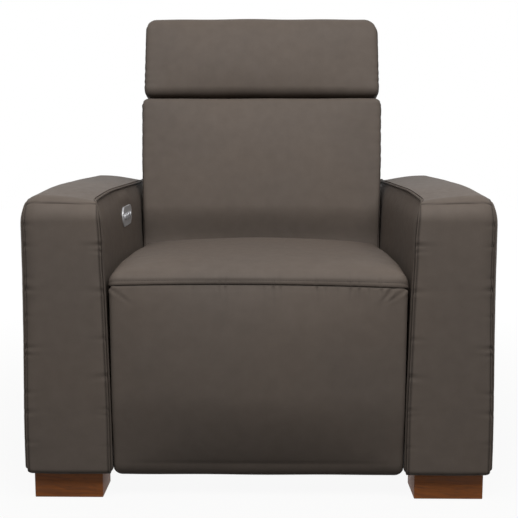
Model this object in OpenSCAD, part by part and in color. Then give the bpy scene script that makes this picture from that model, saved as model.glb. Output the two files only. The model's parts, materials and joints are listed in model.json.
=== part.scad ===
// Power recliner armchair for a home cinema. Two upholstered arms stand on wooden feet and
// carry a gliding seat carriage. The panel under the seat's front edge lifts as a footrest,
// the back reclines, and the headrest tilts forward.
// Lengths are in millimetres, angles in degrees. The chair faces -Y, with +X on the sitter's left.

/* [Chair] */
// Overall width over both arms
chair_w = 965; // [900:5:1100]
// Height of the headrest's top above the floor
chair_h = 1060; // [1010:5:1130]
// Height of the seat's crown above the floor
seat_h = 495; // [475:1:520]
// Depth of the seat, from its front to the back's face, at the height of the seat's crown
seat_depth = 560; // [540:5:620]
// Lean of the upright back from vertical
back_lean = 12; // [9:0.5:15]

/* [Arms] */
// Width of an arm at its top
arm_w = 160; // [130:1:190]
// Height of an arm's crown above the floor
arm_h = 640; // [600:5:680]
// Length of an arm from front to rear
arm_len = 880; // [840:5:960]
// Length of an arm behind the back's face, at the height of the seat's crown
arm_tail = 320; // [280:5:360]
// How much wider an arm is at its foot, on the inner side
arm_flare = 17; // [8:1:24]
// Radius of an arm's upper front corner, seen from the side
arm_nose_r = 90; // [50:5:110]
// Thickness of the padded cover round an arm's frame
arm_pad = 26; // [20:1:32]

/* [Feet] */
// Height of the wooden feet
foot_h = 57; // [45:1:75]
// Width of a foot across the chair
foot_w = 143; // [100:1:150]
// Depth of a foot along the chair
foot_d = 90; // [60:5:110]
// Setback of a foot from the arm's front or rear face
foot_setback = 25; // [15:1:60]

/* [Cushions] */
// Thickness of the seat cushion, from its crown to the springs
seat_cushion_t = 113; // [100:1:125]
// Rise of the seat's crown over its side edges
seat_crown = 17; // [8:1:20]
// Drop from the seat's crown to the seam over the footrest
seam_drop = 39; // [34:1:46]
// Bulge of the footrest pad in front of the arms
pad_crown = 13; // [6:1:18]
// Thickness of the footrest pad behind the arms' front face
pad_t = 60; // [52:1:66]
// Thickness of the back cushion
back_cushion_t = 140; // [130:1:150]
// Bulge of the back cushion in front of its edges
back_crown = 16; // [8:1:22]
// Height of the headrest, along the back
headrest_len = 207; // [180:1:240]
// Thickness of the outer back shell
shell_t = 93; // [80:1:110]

/* [Movement] */
// Forward glide of the seat carriage at full recline
glide_travel = 100; // [60:5:110]
// Swing of the footrest from closed to open
footrest_swing = 85; // [70:1:88]
// Recline of the back from upright
recline_swing = 40; // [25:1:42]

/* [Controls] */
// Length of the oval control plate
control_len = 130; // [120:1:150]
// Height of the oval control plate
control_h = 46; // [40:1:54]
// Radius of a push button
button_r = 8; // [6:0.5:10]

/* [Hidden] */
$fn = 48;

// Clearances and stock sizes
run_gap = 0.06; // radial gap of a pin in its hole
link_slack = 1.2; // radial gap of a push link's pin, which takes up the play of the linkage
bolt_gap = 0.3; // radial gap round a bolt
rest_gap = 0.3; // between the back cushion and the frame that it leans on
soft_gap = 5; // gap between a soft piece and what moves beside it
over = 1; // overrun of a cut
bite = 1; // a pin, boss or flange sunk into its neighbour, or proud of it
steel_t = 4; // sheet of the side plates
link_t = 5; // bar of the cranks, links and brackets
leaf_gap = 1; // side gap between bars that pass each other
tube = 25; // square tube of the carriage
tube_wall = 2;
pin_r = 5; // link and hinge pins
hub_r = 12; // round end of a bar about a pin
eye_r = hub_r - 3; // and a slimmer one
small_r = 2; // eased corner of a plate or a cushion's hidden edge
plate_r = 8; // wider corner of a plate
board_t = 15; // plywood boards
arc_n = 4; // segments in a rounded corner

// Heights, upward from the floor
stretcher_lift = 15; // stretchers above the arms' underside
stretcher = 40; // square section of the stretchers
stretcher_z = foot_h + stretcher_lift;
track_z = stretcher_z + stretcher;
track_h = 40;
track_w = 28;
track_wall = 3;
carriage_lift = 6; // carriage above the stretchers
carriage_z = track_z + carriage_lift;
seat_rail_h = 48;
spring_t = 3.6; // wire of the flat springs
spring_gap = 0.4; // springs to the cushion over them
frame_top = seat_h - seat_cushion_t - spring_t - spring_gap;
plate_top = frame_top - seat_rail_h;
seam_z = seat_h - seam_drop;

// Distances behind the seat's front, which lies level with the arms' front face
seat_front = arm_len - arm_tail - seat_depth; // place of the seat's front, from the arms' front face
hinge_roll_r = 25; // rounded upper edge of the footrest pad, about its hinge
roll_setback = 1;
pad_gap = 3; // footrest pad to the seat's nose over it
hinge_y = hinge_roll_r + roll_setback;
hinge_z = seam_z - pad_gap - hinge_roll_r;
shaft_back = 164; // torque shaft, behind the footrest hinge
shaft_drop = 30; // and under the top of the side plates
shaft_y = hinge_y + shaft_back;
shaft_z = plate_top - shaft_drop;
crank_r = 140; // reach of the cranks, whose ends pass over the front tube
crank_lean = 31; // of the cranks and the footrest brackets from straight down, at rest
rail_y = 95; // front face of the seat's front rail
rail_t = 35;
tan_lean = tan(back_lean);
back_sink = 95; // lower end of the back's outline, under the seat's crown
back_z = seat_h - back_sink;
back_y = seat_depth - back_sink * tan_lean;
pivot_back = 104; // back pivot, behind the lower end of the back's face
pivot_drop = 50; // and under it
pivot_y = back_y + pivot_back;
pivot_z = back_z - pivot_drop;
pivot_pin_r = 8;
ear_r = 28; // round ear of a side plate about the back pivot
rear_rail_t = 30;
rear_rail_gap = 10; // rear rail to the back's face
rear_rail_y = back_y - rear_rail_gap - rear_rail_t;

// Sizes along the leaning back, from its lower end
headrest_r = 34; // upper front edge of the headrest
headrest_rise = 3; // crown of the headrest's top
back_len = headrest_r - headrest_rise
    + (chair_h - back_z - headrest_r + headrest_r * sin(back_lean)) / cos(back_lean);
crease = back_len - headrest_len; // where the headrest begins
cushion_foot = 20; // lower edge of the back cushion
tilt_r = 30; // rounded lower edge of the headrest, about its hinge
tilt_y = tilt_r;
crease_gap = 4; // between the back cushion and the headrest
tilt_z = crease + crease_gap + tilt_r;
headrest_t = 118;
shell_y = back_cushion_t + rest_gap;
shell_rear = shell_y + shell_t;
shell_wall = 20;
shell_step = 8; // shell's top under the headrest's
shell_top = back_len - shell_step;
shell_corner_r = 30;
shell_side_r = 42; // upper corners, seen from behind
shell_front_r = 10;
shell_lip_r = 3;
shell_tuck = 30; // lower end of the rear face, in front of its top
shell_swell = 14; // and its swell
shell_swell_z = 120;
shell_swell_r = 200;
cavity_rise = 56; // cavity's top over the crease
shell_cavity_top = crease + cavity_rise;
post_t = 35;
post_w = 35;

// Overall depth and the place of the arms' front face about the chair's centre
shell_outline = rounded([
    [shell_y, 0, shell_lip_r], [shell_rear - shell_tuck, 0, plate_r],
    [shell_rear - shell_swell, shell_swell_z, shell_swell_r],
    [shell_rear, shell_top, shell_corner_r], [shell_y, shell_top, shell_front_r]
]);
shell_reach = max([for (p = shell_outline) p * [cos(back_lean), sin(back_lean)]]);
front_extent = min(0, seat_front - pad_crown);
rear_extent = max(arm_len, seat_front + back_y + shell_reach);
front_y = -(front_extent + rear_extent) / 2;

// Widths, from the middle outward
side_x = chair_w / 2; // outer face of an arm
top_x = side_x - arm_w; // inner face at the top of an arm
foot_x = top_x - arm_flare; // inner face at the foot of an arm
seat_side_gap = 1;
pad_side_gap = 4.5;
shell_side_gap = 0.5;
plate_gap = 10; // glide track to side plate
hinge_in = 24; // footrest hinge bracket, inside a side plate
seat_half = foot_x - seat_side_gap;
pad_half = foot_x - pad_side_gap;
back_half = foot_x;
shell_half = foot_x - shell_side_gap;
plate_x = foot_x - track_w - plate_gap; // outer face of a side plate
hinge_x = plate_x - hinge_in; // inner face of a footrest hinge bracket
bracket_x = hinge_x - leaf_gap - link_t; // inner face of a footrest bracket
link_x = bracket_x - leaf_gap - link_t; // inner face of a push link
crank_x = link_x - leaf_gap - link_t; // inner face of a crank
post_x = shell_half - shell_wall - post_w; // inner face of a back post
lever_x = post_x - link_t; // inner face of a back pivot bracket
drive_x = 65; // middle of each drive rail
tilt_x = 200; // inner face of a headrest hinge arm

// Colours
leather = [0.36, 0.33, 0.30];
walnut = [0.36, 0.21, 0.09];
ply = [0.76, 0.62, 0.42];
steel = [0.25, 0.26, 0.28];
zinc = [0.68, 0.69, 0.70];
nylon = [0.12, 0.12, 0.13];
silver = [0.72, 0.72, 0.73];

// Outlines

function unit(v) = v / norm(v);

// Points of the arc that rounds corner p between its neighbours a and b, by radius p[2]
function corner_arc(a, p, b, n) =
    let (c = [p[0], p[1]], u = unit([a[0], a[1]] - c), v = unit([b[0], b[1]] - c),
         half = acos(u * v) / 2, r = p[2],
         mid = c + unit(u + v) * r / sin(half),
         s = c + u * r / tan(half) - mid, e = c + v * r / tan(half) - mid,
         from = atan2(s[1], s[0]), turn = atan2(e[1], e[0]) - from,
         sweep = turn > 180 ? turn - 360 : turn < -180 ? turn + 360 : turn)
    r == 0 ? [c] : [for (k = [0:n]) mid + r * [cos(from + sweep * k / n), sin(from + sweep * k / n)]];

// A closed outline from corners given as [across, up, radius]
function rounded(corners, n = arc_n) =
    let (m = len(corners))
    [for (i = [0:m - 1]) each corner_arc(corners[(i + m - 1) % m], corners[i], corners[(i + 1) % m], n)];

// The same outline with points added so that no side is longer than step
function spaced(outline, step) =
    let (m = len(outline))
    [for (i = [0:m - 1])
        let (a = outline[i], b = outline[(i + 1) % m], n = max(1, ceil(norm(b - a) / step)))
        for (k = [0:n - 1]) a + (b - a) * k / n];

// A bar with round ends about a and b
function link(a, b, r, n = 2 * arc_n) =
    let (turn = atan2(b[1] - a[1], b[0] - a[0]))
    [for (end = [[b, -90], [a, 90]], k = [0:n])
        end[0] + r * [cos(turn + end[1] + 180 * k / n), sin(turn + end[1] + 180 * k / n)]];

function clamp(v) = min(1, max(0, v));
function arch(v) = clamp(1 - v * v);

// Shared shapes

module in_chair(y = 0, z = 0) {
    translate([0, front_y + y, z]) children();
}

module in_seat() {
    in_chair(seat_front) children();
}

// The leaning frame of the back: y is behind its face and z is along it
module in_back() {
    in_chair(seat_front + back_y, back_z) rotate([-back_lean, 0, 0]) children();
}

module both_sides() {
    children();
    mirror([1, 0, 0]) children();
}

// A slab with the given side outline, from x0 to x0 + w
module side_slab(x0, w, outline) {
    translate([x0, 0, 0]) rotate([90, 0, 90]) linear_extrude(w) polygon(outline);
}

module plank(x, y, z, w, d, h) {
    translate([x, y, z]) cube([w, d, h]);
}

// A round bar along x
module rod(x0, x1, r) {
    translate([x0, 0, 0]) rotate([0, 90, 0]) cylinder(h = x1 - x0, r = r);
}

module at(p) {
    translate([0, p[0], p[1]]) children();
}

// A stuffed form. Its side outline is carried across the width; the crown fades towards the
// sides, the edges are rounded by edge_r, and the sides draw in between their corners.
//   crown_at(p)  move of outline point p at the middle of the width
//   half_at(p)   half width at outline point p
//   middle       point inside the outline that the rounded edges draw in towards
module stuffed(outline, edge_r, crown_at, half_at, middle, stations = 20) {
    m = len(outline);
    rings = [for (i = [0:stations])
        let (share = sin(90 * (2 * i / stations - 1)))
        [for (p = outline)
            let (half = half_at(p), t = clamp((abs(share) * half - half + edge_r) / edge_r),
                 inset = edge_r * (1 - sqrt(1 - t * t)),
                 q = p + crown_at(p) * (1 - share * share) - unit(p - middle) * inset)
            [share * half, q[0], q[1]]]];
    tip_share = 0.995; // tips of the sides, within the half width
    tips = [for (i = [0, stations]) [rings[i][0][0] * tip_share, middle[0], middle[1]]];
    points = concat([for (ring = rings) each ring], tips);
    sides = [for (i = [0:stations - 1], j = [0:m - 1])
        let (k = (j + 1) % m, a = i * m, b = a + m)
        each [[a + j, b + j, b + k], [a + j, b + k, a + k]]];
    first = (stations + 1) * m;
    caps = [for (j = [0:m - 1])
        let (k = (j + 1) % m, a = stations * m)
        each [[first, j, k], [first + 1, a + k, a + j]]];
    polyhedron(points, concat(sides, caps));
}

// A flat zigzag spring along x, from 0 to length
module zigzag(length, swing, pitch) {
    count = round(length / pitch) * 6;
    line = [for (i = [0:count]) [length * i / count, swing * sin(60 * i)]];
    linear_extrude(spring_t)
        polygon(concat([for (p = line) p + [0, spring_t / 2]],
                       [for (i = [count:-1:0]) line[i] - [0, spring_t / 2]]));
}

// Arms and feet

arm_low_r = 10;
arm_end_r = 12; // lower corners and outer top edge
arm_inner_r = 8; // inner top edge
arm_rear_r = 40; // upper rear corner
arm_crown = 7; // rise of an arm's top over its edges
arm_crown_r = 220;
arm_waist = 6; // part of the flare that is left at the seat's seam
arm_waist_r = 200;
arm_kick = 90; // lower end of the flare, above the glide tracks' foot
arm_kick_r = 60;
arm_front_outline = rounded([
    [foot_x, foot_h, arm_low_r], [side_x, foot_h, arm_low_r], [side_x, arm_h - arm_crown, arm_end_r],
    [side_x - arm_w / 2, arm_h, arm_crown_r], [top_x, arm_h - arm_crown, arm_inner_r],
    [foot_x + arm_waist, seam_z, arm_waist_r], [foot_x, track_z + arm_kick, arm_kick_r]
]);
arm_side_outline = rounded([
    [0, foot_h, arm_end_r], [arm_len, foot_h, arm_end_r], [arm_len, arm_h, arm_rear_r],
    [0, arm_h, arm_nose_r]
], 2 * arc_n);
front_pad = 10; // more padding at the front,
top_pad = 45; // on the top
nose_pad = 5; // and less over the bevel of the frame's upper front corner
core_x0 = top_x + arm_pad; // inner face of an arm's frame
core_x1 = side_x - arm_pad;
core_y0 = arm_pad + front_pad;
core_y1 = arm_len - arm_pad;
core_top = arm_h - top_pad;
core_nose = arm_nose_r - nose_pad;
panel_t = 18;
outer_panel_t = 12;
floor_t = 18; // bottom board of an arm's frame
foot_bolt_r = 5;
foot_head_r = 10;
foot_head_h = 7;
foot_sink = 12;
foot_head_gap = 1;
foot_bolt_short = 2; // end of a foot bolt under the floor board's top
rear_stretcher_in = 120; // rear stretcher, in front of the arms' rear face
rear_stretcher_y = arm_len - rear_stretcher_in;
front_stretcher_back = 150; // front stretcher, behind the seat's front
frame_post = 45; // depth of the posts in an arm's frame
front_stretcher_y = max(seat_front + front_stretcher_back, core_y0 + frame_post);
stretcher_bolt_r = 4;
stretcher_bolt_in = 40; // length of a bolt in the stretcher
stretcher_bolt_shares = [0.35, 0.725]; // of the stretcher's height
stretcher_bolt_head_h = 5;
stretcher_bolt_head_r = 7;
stretcher_bolt_zs = [for (share = stretcher_bolt_shares) stretcher_z + share * stretcher];
stretcher_ys = [front_stretcher_y, rear_stretcher_y];
control_y = 362;
control_drop = 76; // middle of the control plate, under the arm's crown
control_z = arm_h - control_drop;
control_box = [36, 110, 34]; // into the arm, along it and up
foot_places = [foot_setback, arm_len - foot_setback - foot_d];
foot_shift = 3; // feet outward from under the middle of an arm
foot_mid_x = (foot_x + side_x) / 2 + foot_shift;

core_outline = [
    [core_y0, foot_h], [core_y1, foot_h], [core_y1, core_top],
    [core_y0 + core_nose, core_top], [core_y0, core_top - core_nose]
];

module stretcher_bolt_holes(x0, x1) {
    for (y = stretcher_ys, z = stretcher_bolt_zs)
        at([y + stretcher / 2, z]) rod(x0, x1, stretcher_bolt_r + bolt_gap);
}

module control_pocket(gap) {
    translate([foot_x - over, control_y - control_box[1] / 2 - gap, control_z - control_box[2] / 2 - gap])
        cube([core_x0 + panel_t + 2 * over - foot_x, control_box[1] + 2 * gap, control_box[2] + 2 * gap]);
}

module arm_cover(with_control) {
    color(leather) in_chair() difference() {
        intersection() {
            translate([0, arm_len, 0]) rotate([90, 0, 0]) linear_extrude(arm_len) polygon(arm_front_outline);
            side_slab(foot_x, side_x - foot_x, arm_side_outline);
        }
        translate([0, 0, -over]) side_slab(core_x0, core_x1 - core_x0, core_outline);
        side_slab(core_x0, core_x1 - core_x0, core_outline);
        stretcher_bolt_holes(foot_x - over, core_x0 + over);
        if (with_control) {
            control_pocket(bolt_gap);
            translate([plate_face - plate_t, control_y, control_z])
                oval(control_len + 2 * bolt_gap, control_h + 2 * bolt_gap, 2 * plate_t);
        }
    }
}

module arm_inner_panel(with_control) {
    color(ply) in_chair() difference() {
        side_slab(core_x0, panel_t, core_outline);
        stretcher_bolt_holes(core_x0 - over, core_x0 + panel_t + over);
        if (with_control) control_pocket(bolt_gap);
    }
}

module arm_frame() {
    x0 = core_x0 + panel_t;
    w = core_x1 - outer_panel_t - x0;
    top_rail = 30;
    color(ply) in_chair() {
        side_slab(core_x1 - outer_panel_t, outer_panel_t, core_outline);
        difference() {
            plank(x0, core_y0, foot_h, w, core_y1 - core_y0, floor_t);
            for (y = foot_places)
                translate([foot_mid_x, y + foot_d / 2, foot_h - over])
                    cylinder(h = floor_t + 2 * over, r = foot_bolt_r + bolt_gap);
        }
        plank(x0, core_y0, foot_h + floor_t, w, frame_post, core_top - core_nose - foot_h - floor_t);
        plank(x0, core_y1 - frame_post, foot_h + floor_t, w, frame_post, core_top - foot_h - floor_t);
        plank(x0, core_y0 + core_nose, core_top - top_rail,
              w, core_y1 - frame_post - core_y0 - core_nose, top_rail);
    }
}

module foot(y) {
    color(walnut) in_chair() difference() {
        translate([foot_mid_x - foot_w / 2, y, 0]) cube([foot_w, foot_d, foot_h]);
        translate([foot_mid_x, y + foot_d / 2, -over]) {
            cylinder(h = foot_h + 2 * over, r = foot_bolt_r + bolt_gap);
            cylinder(h = foot_sink + foot_head_h + over, r = foot_head_r + foot_head_gap);
        }
    }
}

module foot_bolts() {
    color(zinc) in_chair() both_sides() for (y = foot_places)
        translate([foot_mid_x, y + foot_d / 2, foot_sink]) {
            cylinder(h = foot_head_h, r = foot_head_r);
            cylinder(h = foot_h - foot_sink + floor_t - foot_bolt_short, r = foot_bolt_r);
        }
}

// Base between the arms

module stretcher_beam(y) {
    color(ply) in_chair() difference() {
        plank(-foot_x, y, stretcher_z, 2 * foot_x, stretcher, stretcher);
        both_sides() stretcher_bolt_holes(foot_x - stretcher_bolt_in - over, foot_x + over);
    }
}

module stretcher_bolts() {
    head = core_x0 + panel_t;
    color(zinc) in_chair() both_sides()
        for (y = stretcher_ys, z = stretcher_bolt_zs)
            at([y + stretcher / 2, z]) {
                rod(foot_x - stretcher_bolt_in, head + over, stretcher_bolt_r);
                rod(head, head + stretcher_bolt_head_h, stretcher_bolt_head_r);
            }
}

module glide_track() {
    length = rear_stretcher_y + stretcher - track_y;
    color(steel) in_chair() difference() {
        plank(foot_x - track_w, track_y, track_z, track_w, length, track_h);
        plank(foot_x - track_w - over, track_y - over, track_z + track_wall,
              track_w - track_wall + over, length + 2 * over, track_h - 2 * track_wall);
    }
}

valance_t = 18;
valance_y = rear_stretcher_y + stretcher;
valance_lift = 6; // above the arms' underside
valance_z = foot_h + valance_lift;
valance_rise = 30; // top of the valance over the back pivot
inlet_r = 2.75;
inlet_len = 10;
inlet_x = 200;
inlet_rise = 30;
inlet_z = stretcher_z + inlet_rise;
inlet_body_r = 9;
inlet_flange_r = 13;
inlet_flange_t = 2.5;
power_box = [150, 60, 34]; // across the chair, along it and up
power_x = 20;

module rear_valance() {
    color(leather) in_chair() difference() {
        plank(-foot_x, valance_y, valance_z, 2 * foot_x, valance_t, pivot_z + valance_rise - valance_z);
        translate([inlet_x, valance_y - over, inlet_z])
            rotate([-90, 0, 0]) cylinder(h = valance_t + 2 * over, r = inlet_body_r + bolt_gap);
    }
}

module power_inlet() {
    color(nylon) in_chair() translate([inlet_x, valance_y + valance_t, inlet_z]) rotate([-90, 0, 0])
        difference() {
            union() {
                translate([0, 0, bite - valance_t]) cylinder(h = valance_t, r = inlet_body_r);
                cylinder(h = inlet_flange_t, r = inlet_flange_r);
            }
            translate([0, 0, inlet_flange_t - inlet_len]) cylinder(h = inlet_len + over, r = inlet_r);
        }
}

module power_unit() {
    color(nylon) in_chair()
        plank(power_x, rear_stretcher_y - power_box[1], stretcher_z,
              power_box[0], power_box[1], power_box[2]);
}

// Control panel, on the inner face of the arm at -X

button_step = 26;
button_gap = 0.1;
button_travel = 1.5;
button_stem = 12;
button_proud = 2.5;
plate_t = 4;
plate_proud = 2.5; // control plate over the arm's face
plate_face = arm_face_x(control_z) - plate_proud; // outer face of the plate, from the middle
function arm_face_x(z) =
    foot_x + arm_waist + (arm_flare - arm_waist) * (z - seam_z) / (arm_h - arm_crown - seam_z);
function button_y(i) = control_y + (i - 1.5) * button_step;

module oval(length, height, t) {
    r = height / 2;
    for (s = [-1, 1]) translate([0, s * (length / 2 - r), 0]) rod(0, t, r);
    translate([0, r - length / 2, -r]) cube([t, length - height, height]);
}

module control_plate() {
    color(silver) in_chair() mirror([1, 0, 0]) difference() {
        translate([plate_face, control_y, control_z]) oval(control_len, control_h, plate_t);
        for (i = [0:3])
            at([button_y(i), control_z])
                rod(plate_face - over, plate_face + plate_t + over, button_r + button_gap);
    }
}

module control_housing() {
    x0 = plate_face + plate_t;
    color(nylon) in_chair() mirror([1, 0, 0]) difference() {
        plank(x0, control_y - control_box[1] / 2, control_z - control_box[2] / 2,
              control_box[0], control_box[1], control_box[2]);
        for (i = [0:3])
            at([button_y(i), control_z])
                rod(x0 - over, x0 + button_stem + button_travel, button_r + button_gap);
    }
}

module button(i) {
    color(silver) in_chair() mirror([1, 0, 0])
        at([button_y(i), control_z])
            rod(plate_face - button_proud, plate_face + plate_t + button_stem - over, button_r);
}

// Seat carriage

crank_rest = crank_r * [sin(crank_lean), -cos(crank_lean)];
hinge_at = [hinge_y, hinge_z];
shaft_at = [shaft_y, shaft_z];
pivot_at = [pivot_y, pivot_z];
crank_end = shaft_at + crank_rest;
bracket_end = hinge_at + crank_rest;
shaft_r = 12.5;
boss_wall = 6;
boss_r = shaft_r + boss_wall; // boss of a crank on its shaft
boss_proud = 2;
shaft_bush_t = 3;
bush_flange_t = 3;
bush_flange_w = 4;
block_len = 60;
block_back = 70; // front glide block, behind the torque shaft
rear_block_in = 90; // rear glide block, in front of the back pivot
block_end_gap = 10; // front block to the track's end, at full glide
block_places = [shaft_y + block_back, pivot_y - rear_block_in]; // front end of each glide block
block_pin_r = 8;
block_gap = 0.4; // glide block to the track's walls
block_mid_z = track_z + track_h / 2;
track_y = min(front_stretcher_y, seat_front + block_places[0] - glide_travel - block_end_gap);
plate_lead = 60; // side plates in front of the torque shaft
ear_foot = 36; // foot of a side plate's ear, in front of the back pivot
ear_drop = 20;
ear_fillet = 20;
ear_slope = 14;
plate_outline = rounded([
    [shaft_y - plate_lead, carriage_z, plate_r], [pivot_y - ear_foot, carriage_z, ear_fillet],
    [pivot_y + ear_r, pivot_z - ear_drop, ear_fillet],
    [pivot_y + ear_r, pivot_z + ear_r, ear_r - small_r], [pivot_y - ear_r, pivot_z + ear_r, ear_fillet],
    [pivot_y - ear_r - ear_slope, plate_top, plate_r], [shaft_y - plate_lead, plate_top, plate_r]
]);
tube_in = 2; // front tube behind the side plates' front edge
rear_tube_in = 95; // rear tube in front of the back pivot
tube_share = 0.7; // middle tube, of the way from the front tube to the rear one
tube_ends = [shaft_y - plate_lead + tube_in, pivot_y - rear_tube_in];
tube_places = [tube_ends[0], tube_ends[0] + tube_share * (tube_ends[1] - tube_ends[0]), tube_ends[1]];
flange_w = 28;

module side_plate() {
    color(steel) in_seat() difference() {
        union() {
            side_slab(plate_x - steel_t, steel_t, plate_outline);
            plank(plate_x - flange_w, rail_y + rail_t, plate_top - steel_t,
                  flange_w, rear_rail_y - rail_y - rail_t, steel_t);
        }
        at(shaft_at) rod(plate_x - steel_t - over, plate_x + over, shaft_r + shaft_bush_t);
        at(pivot_at) rod(plate_x - steel_t - over, plate_x + over, pivot_pin_r + run_gap);
    }
}

module glide_blocks() {
    x0 = foot_x - track_w + bite;
    x1 = foot_x - track_wall - block_gap;
    z0 = track_z + track_wall + block_gap;
    color(nylon) in_seat() both_sides() for (y = block_places) {
        plank(x0, y, z0, x1 - x0, block_len, 2 * (block_mid_z - z0));
        at([y + block_len / 2, block_mid_z]) rod(plate_x, x0 + bite, block_pin_r);
    }
}

module carriage_tubes() {
    half = plate_x - steel_t;
    bore = tube - 2 * tube_wall;
    color(steel) in_seat() for (y = tube_places)
        difference() {
            plank(-half, y, carriage_z, 2 * half, tube, tube);
            plank(-half - over, y + tube_wall, carriage_z + tube_wall, 2 * (half + over), bore, bore);
        }
}

rail_half = seat_half - board_t;

module seat_front_rail() {
    color(ply) in_seat() plank(-rail_half, rail_y, plate_top, 2 * rail_half, rail_t, seat_rail_h);
}

module seat_rear_rail() {
    color(ply) in_seat() plank(-rail_half, rear_rail_y, plate_top, 2 * rail_half, rear_rail_t, seat_rail_h);
}

module seat_side_rails() {
    y0 = rail_y + rail_t;
    x0 = plate_x - flange_w;
    color(ply) in_seat() both_sides()
        plank(x0, y0, plate_top, rail_half - x0, rear_rail_y - y0, seat_rail_h);
}

module seat_springs() {
    count = 5;
    inset = 10; // ends of the springs, from the rails' far faces
    margin = 65; // outer springs, from the seat's sides
    swing = 22;
    pitch = 32;
    span = rear_rail_y + rear_rail_t - rail_y - 2 * inset;
    step = 2 * (seat_half - margin) / (count - 1);
    color(zinc) in_seat() for (i = [0:count - 1])
        translate([(i - (count - 1) / 2) * step, rail_y + inset, frame_top])
            rotate([0, 0, 90]) zigzag(span, swing, pitch);
}

// Front nose over the footrest, flat on the springs, rear face along the leaning back
seat_rear = back_y - soft_gap;
nose_setback = 2; // nose of the seat, behind the seat's front
nose_over = 8; // rear of the nose, behind the front rail's face
nose_back = rail_y + nose_over;
nose_top_r = 15;
nose_low_r = 6;
nose_swell = 4; // forward swell of the nose,
nose_swell_d = 40; // which fades out over this depth
seat_rear_r = 22;
seat_rear_dip = 4; // rear edge of the seat under its side edges
seat_round = 20;
seat_draw_in = 3;
seat_step = 62; // longest side of the outline
seat_edge_z = seat_h - seat_crown;
seat_foot_z = frame_top + spring_t + spring_gap;
seat_outline = spaced(rounded([
    [nose_setback, seam_z, nose_low_r], [nose_back, seam_z, small_r], [nose_back, seat_foot_z, small_r],
    [seat_rear - (back_z - frame_top) * tan_lean, seat_foot_z, nose_low_r],
    [seat_rear + (seat_edge_z - back_z) * tan_lean, seat_edge_z - seat_rear_dip, seat_rear_r],
    [nose_setback, seat_edge_z, nose_top_r]
]), seat_step);

module seat_cushion() {
    bare = function (p) clamp((p[1] - seam_z) / (seat_edge_z - seam_z));
    color(leather) in_seat() stuffed(seat_outline, seat_round,
        function (p) bare(p) * [-nose_swell * arch((p[0] - nose_setback) / nose_swell_d), seat_crown],
        function (p) seat_half - seat_draw_in * arch((p[0] - seat_rear / 2) * 2 / seat_rear),
        [seat_rear / 2, (seam_z + seat_edge_z) / 2]);
}

module footrest_hinge_brackets() {
    leg = 13; // depth of the leg on the front rail
    leg_lift = 3; // leg's foot over the rail's foot
    shoulder = 4; // leg's top under the hinge
    neck = 32; // corner of neck and leg, under the hinge
    flange = 18;
    leg_y = rail_y - bite;
    leg_z = plate_top + leg_lift;
    color(steel) in_seat() both_sides() {
        side_slab(hinge_x, link_t, rounded([
            [hinge_y - hub_r, hinge_z + hub_r, hub_r - bite], [leg_y, hinge_z - shoulder, plate_r],
            [leg_y, leg_z, small_r], [leg_y - leg, leg_z, small_r], [leg_y - leg, hinge_z - neck, plate_r],
            [hinge_y - hub_r, hinge_z - hub_r, hub_r - bite]
        ]));
        plank(hinge_x + bite, rail_y - steel_t, leg_z + bite, flange, steel_t, seat_rail_h - 2 * steel_t);
        at(hinge_at) rod(bracket_x - bite, hinge_x + bite, pin_r);
    }
}

// Drives

drive_lift = 7; // drive rails above the tubes
drive_z = carriage_z + tube + drive_lift; // underside of the drive rails
drive_rail_share = 0.14; // heights of a rail, a nut and the footrest's crank, and the back's
nut_share = 0.18; // crank, each in the height from the rails to its shaft
feet_crank_share = 0.54;
back_crank_share = 0.5;
drive_rail_h = drive_rail_share * (shaft_z - drive_z);
drive_rail_w = 36;
drive_wall = 3;
prop_w = 24;
nut_gap = 0.4;
nut_len = 46;
nut_w = 40;
nut_h = nut_share * (shaft_z - drive_z);
nut_lip = 3; // lips of a nut down the sides of its rail
nut_lip_lift = 4; // above the rail's underside
yoke_t = 10;
yoke_offset = 3; // inner face of a yoke, outward from the middle of its rail
yoke_x = drive_x + yoke_offset;
yoke_rim = 6;
slot_end_gap = 1;
crank_gap = 2; // drive crank to its yoke
rail_stop = 6; // end of the recline rail beyond its nut
feet_crank_r = feet_crank_share * (shaft_z - drive_z);
back_crank_r = back_crank_share * (pivot_z - drive_z);
feet_pin = shaft_at + feet_crank_r * [sin(footrest_swing / 2), -cos(footrest_swing / 2)];
back_pin = pivot_at + back_crank_r * [sin(recline_swing / 2), -cos(recline_swing / 2)];
slot_gap = 2.6; // play of a crank pin along its yoke's slot sides
feet_rail_y = [tube_places[0], tube_places[1]]; // ends of the footrest drive rail
gear_box = [56, 62, 60]; // gearbox across the chair, along it and up
gear_sink = 5; // gearbox under the rails' underside
motor_neck_r = 22;
motor_neck_len = 14;
motor_r = 27;
motor_len = 67;
back_rail_y = [tube_places[2] + tube, back_pin[0] + nut_len / 2 + rail_stop];

module drive_rail(y0, y1, props) {
    color(zinc) {
        difference() {
            plank(drive_x - drive_rail_w / 2, y0, drive_z, drive_rail_w, y1 - y0, drive_rail_h);
            plank(drive_x - drive_rail_w / 2 + drive_wall, y0 - over, drive_z + drive_wall,
                  drive_rail_w - 2 * drive_wall, y1 - y0 + 2 * over, drive_rail_h - 2 * drive_wall);
        }
        for (y = props)
            plank(drive_x - prop_w / 2, y, carriage_z + tube, prop_w, tube, drive_lift);
    }
}

module drive_motor(y0, prop) {
    z0 = drive_z - gear_sink;
    half = gear_box[0] / 2;
    color(nylon) {
        plank(drive_x - half, y0, z0, gear_box[0], gear_box[1], gear_box[2]);
        translate([drive_x, y0 + gear_box[1] / 2, z0 + gear_box[2] / 2]) {
            rod(half - bite, half + motor_neck_len, motor_neck_r);
            rod(half + motor_neck_len - bite, half + motor_neck_len + motor_len, motor_r);
        }
        plank(drive_x - prop_w / 2, prop, carriage_z + tube, prop_w, tube, drive_lift - gear_sink);
    }
}

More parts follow.
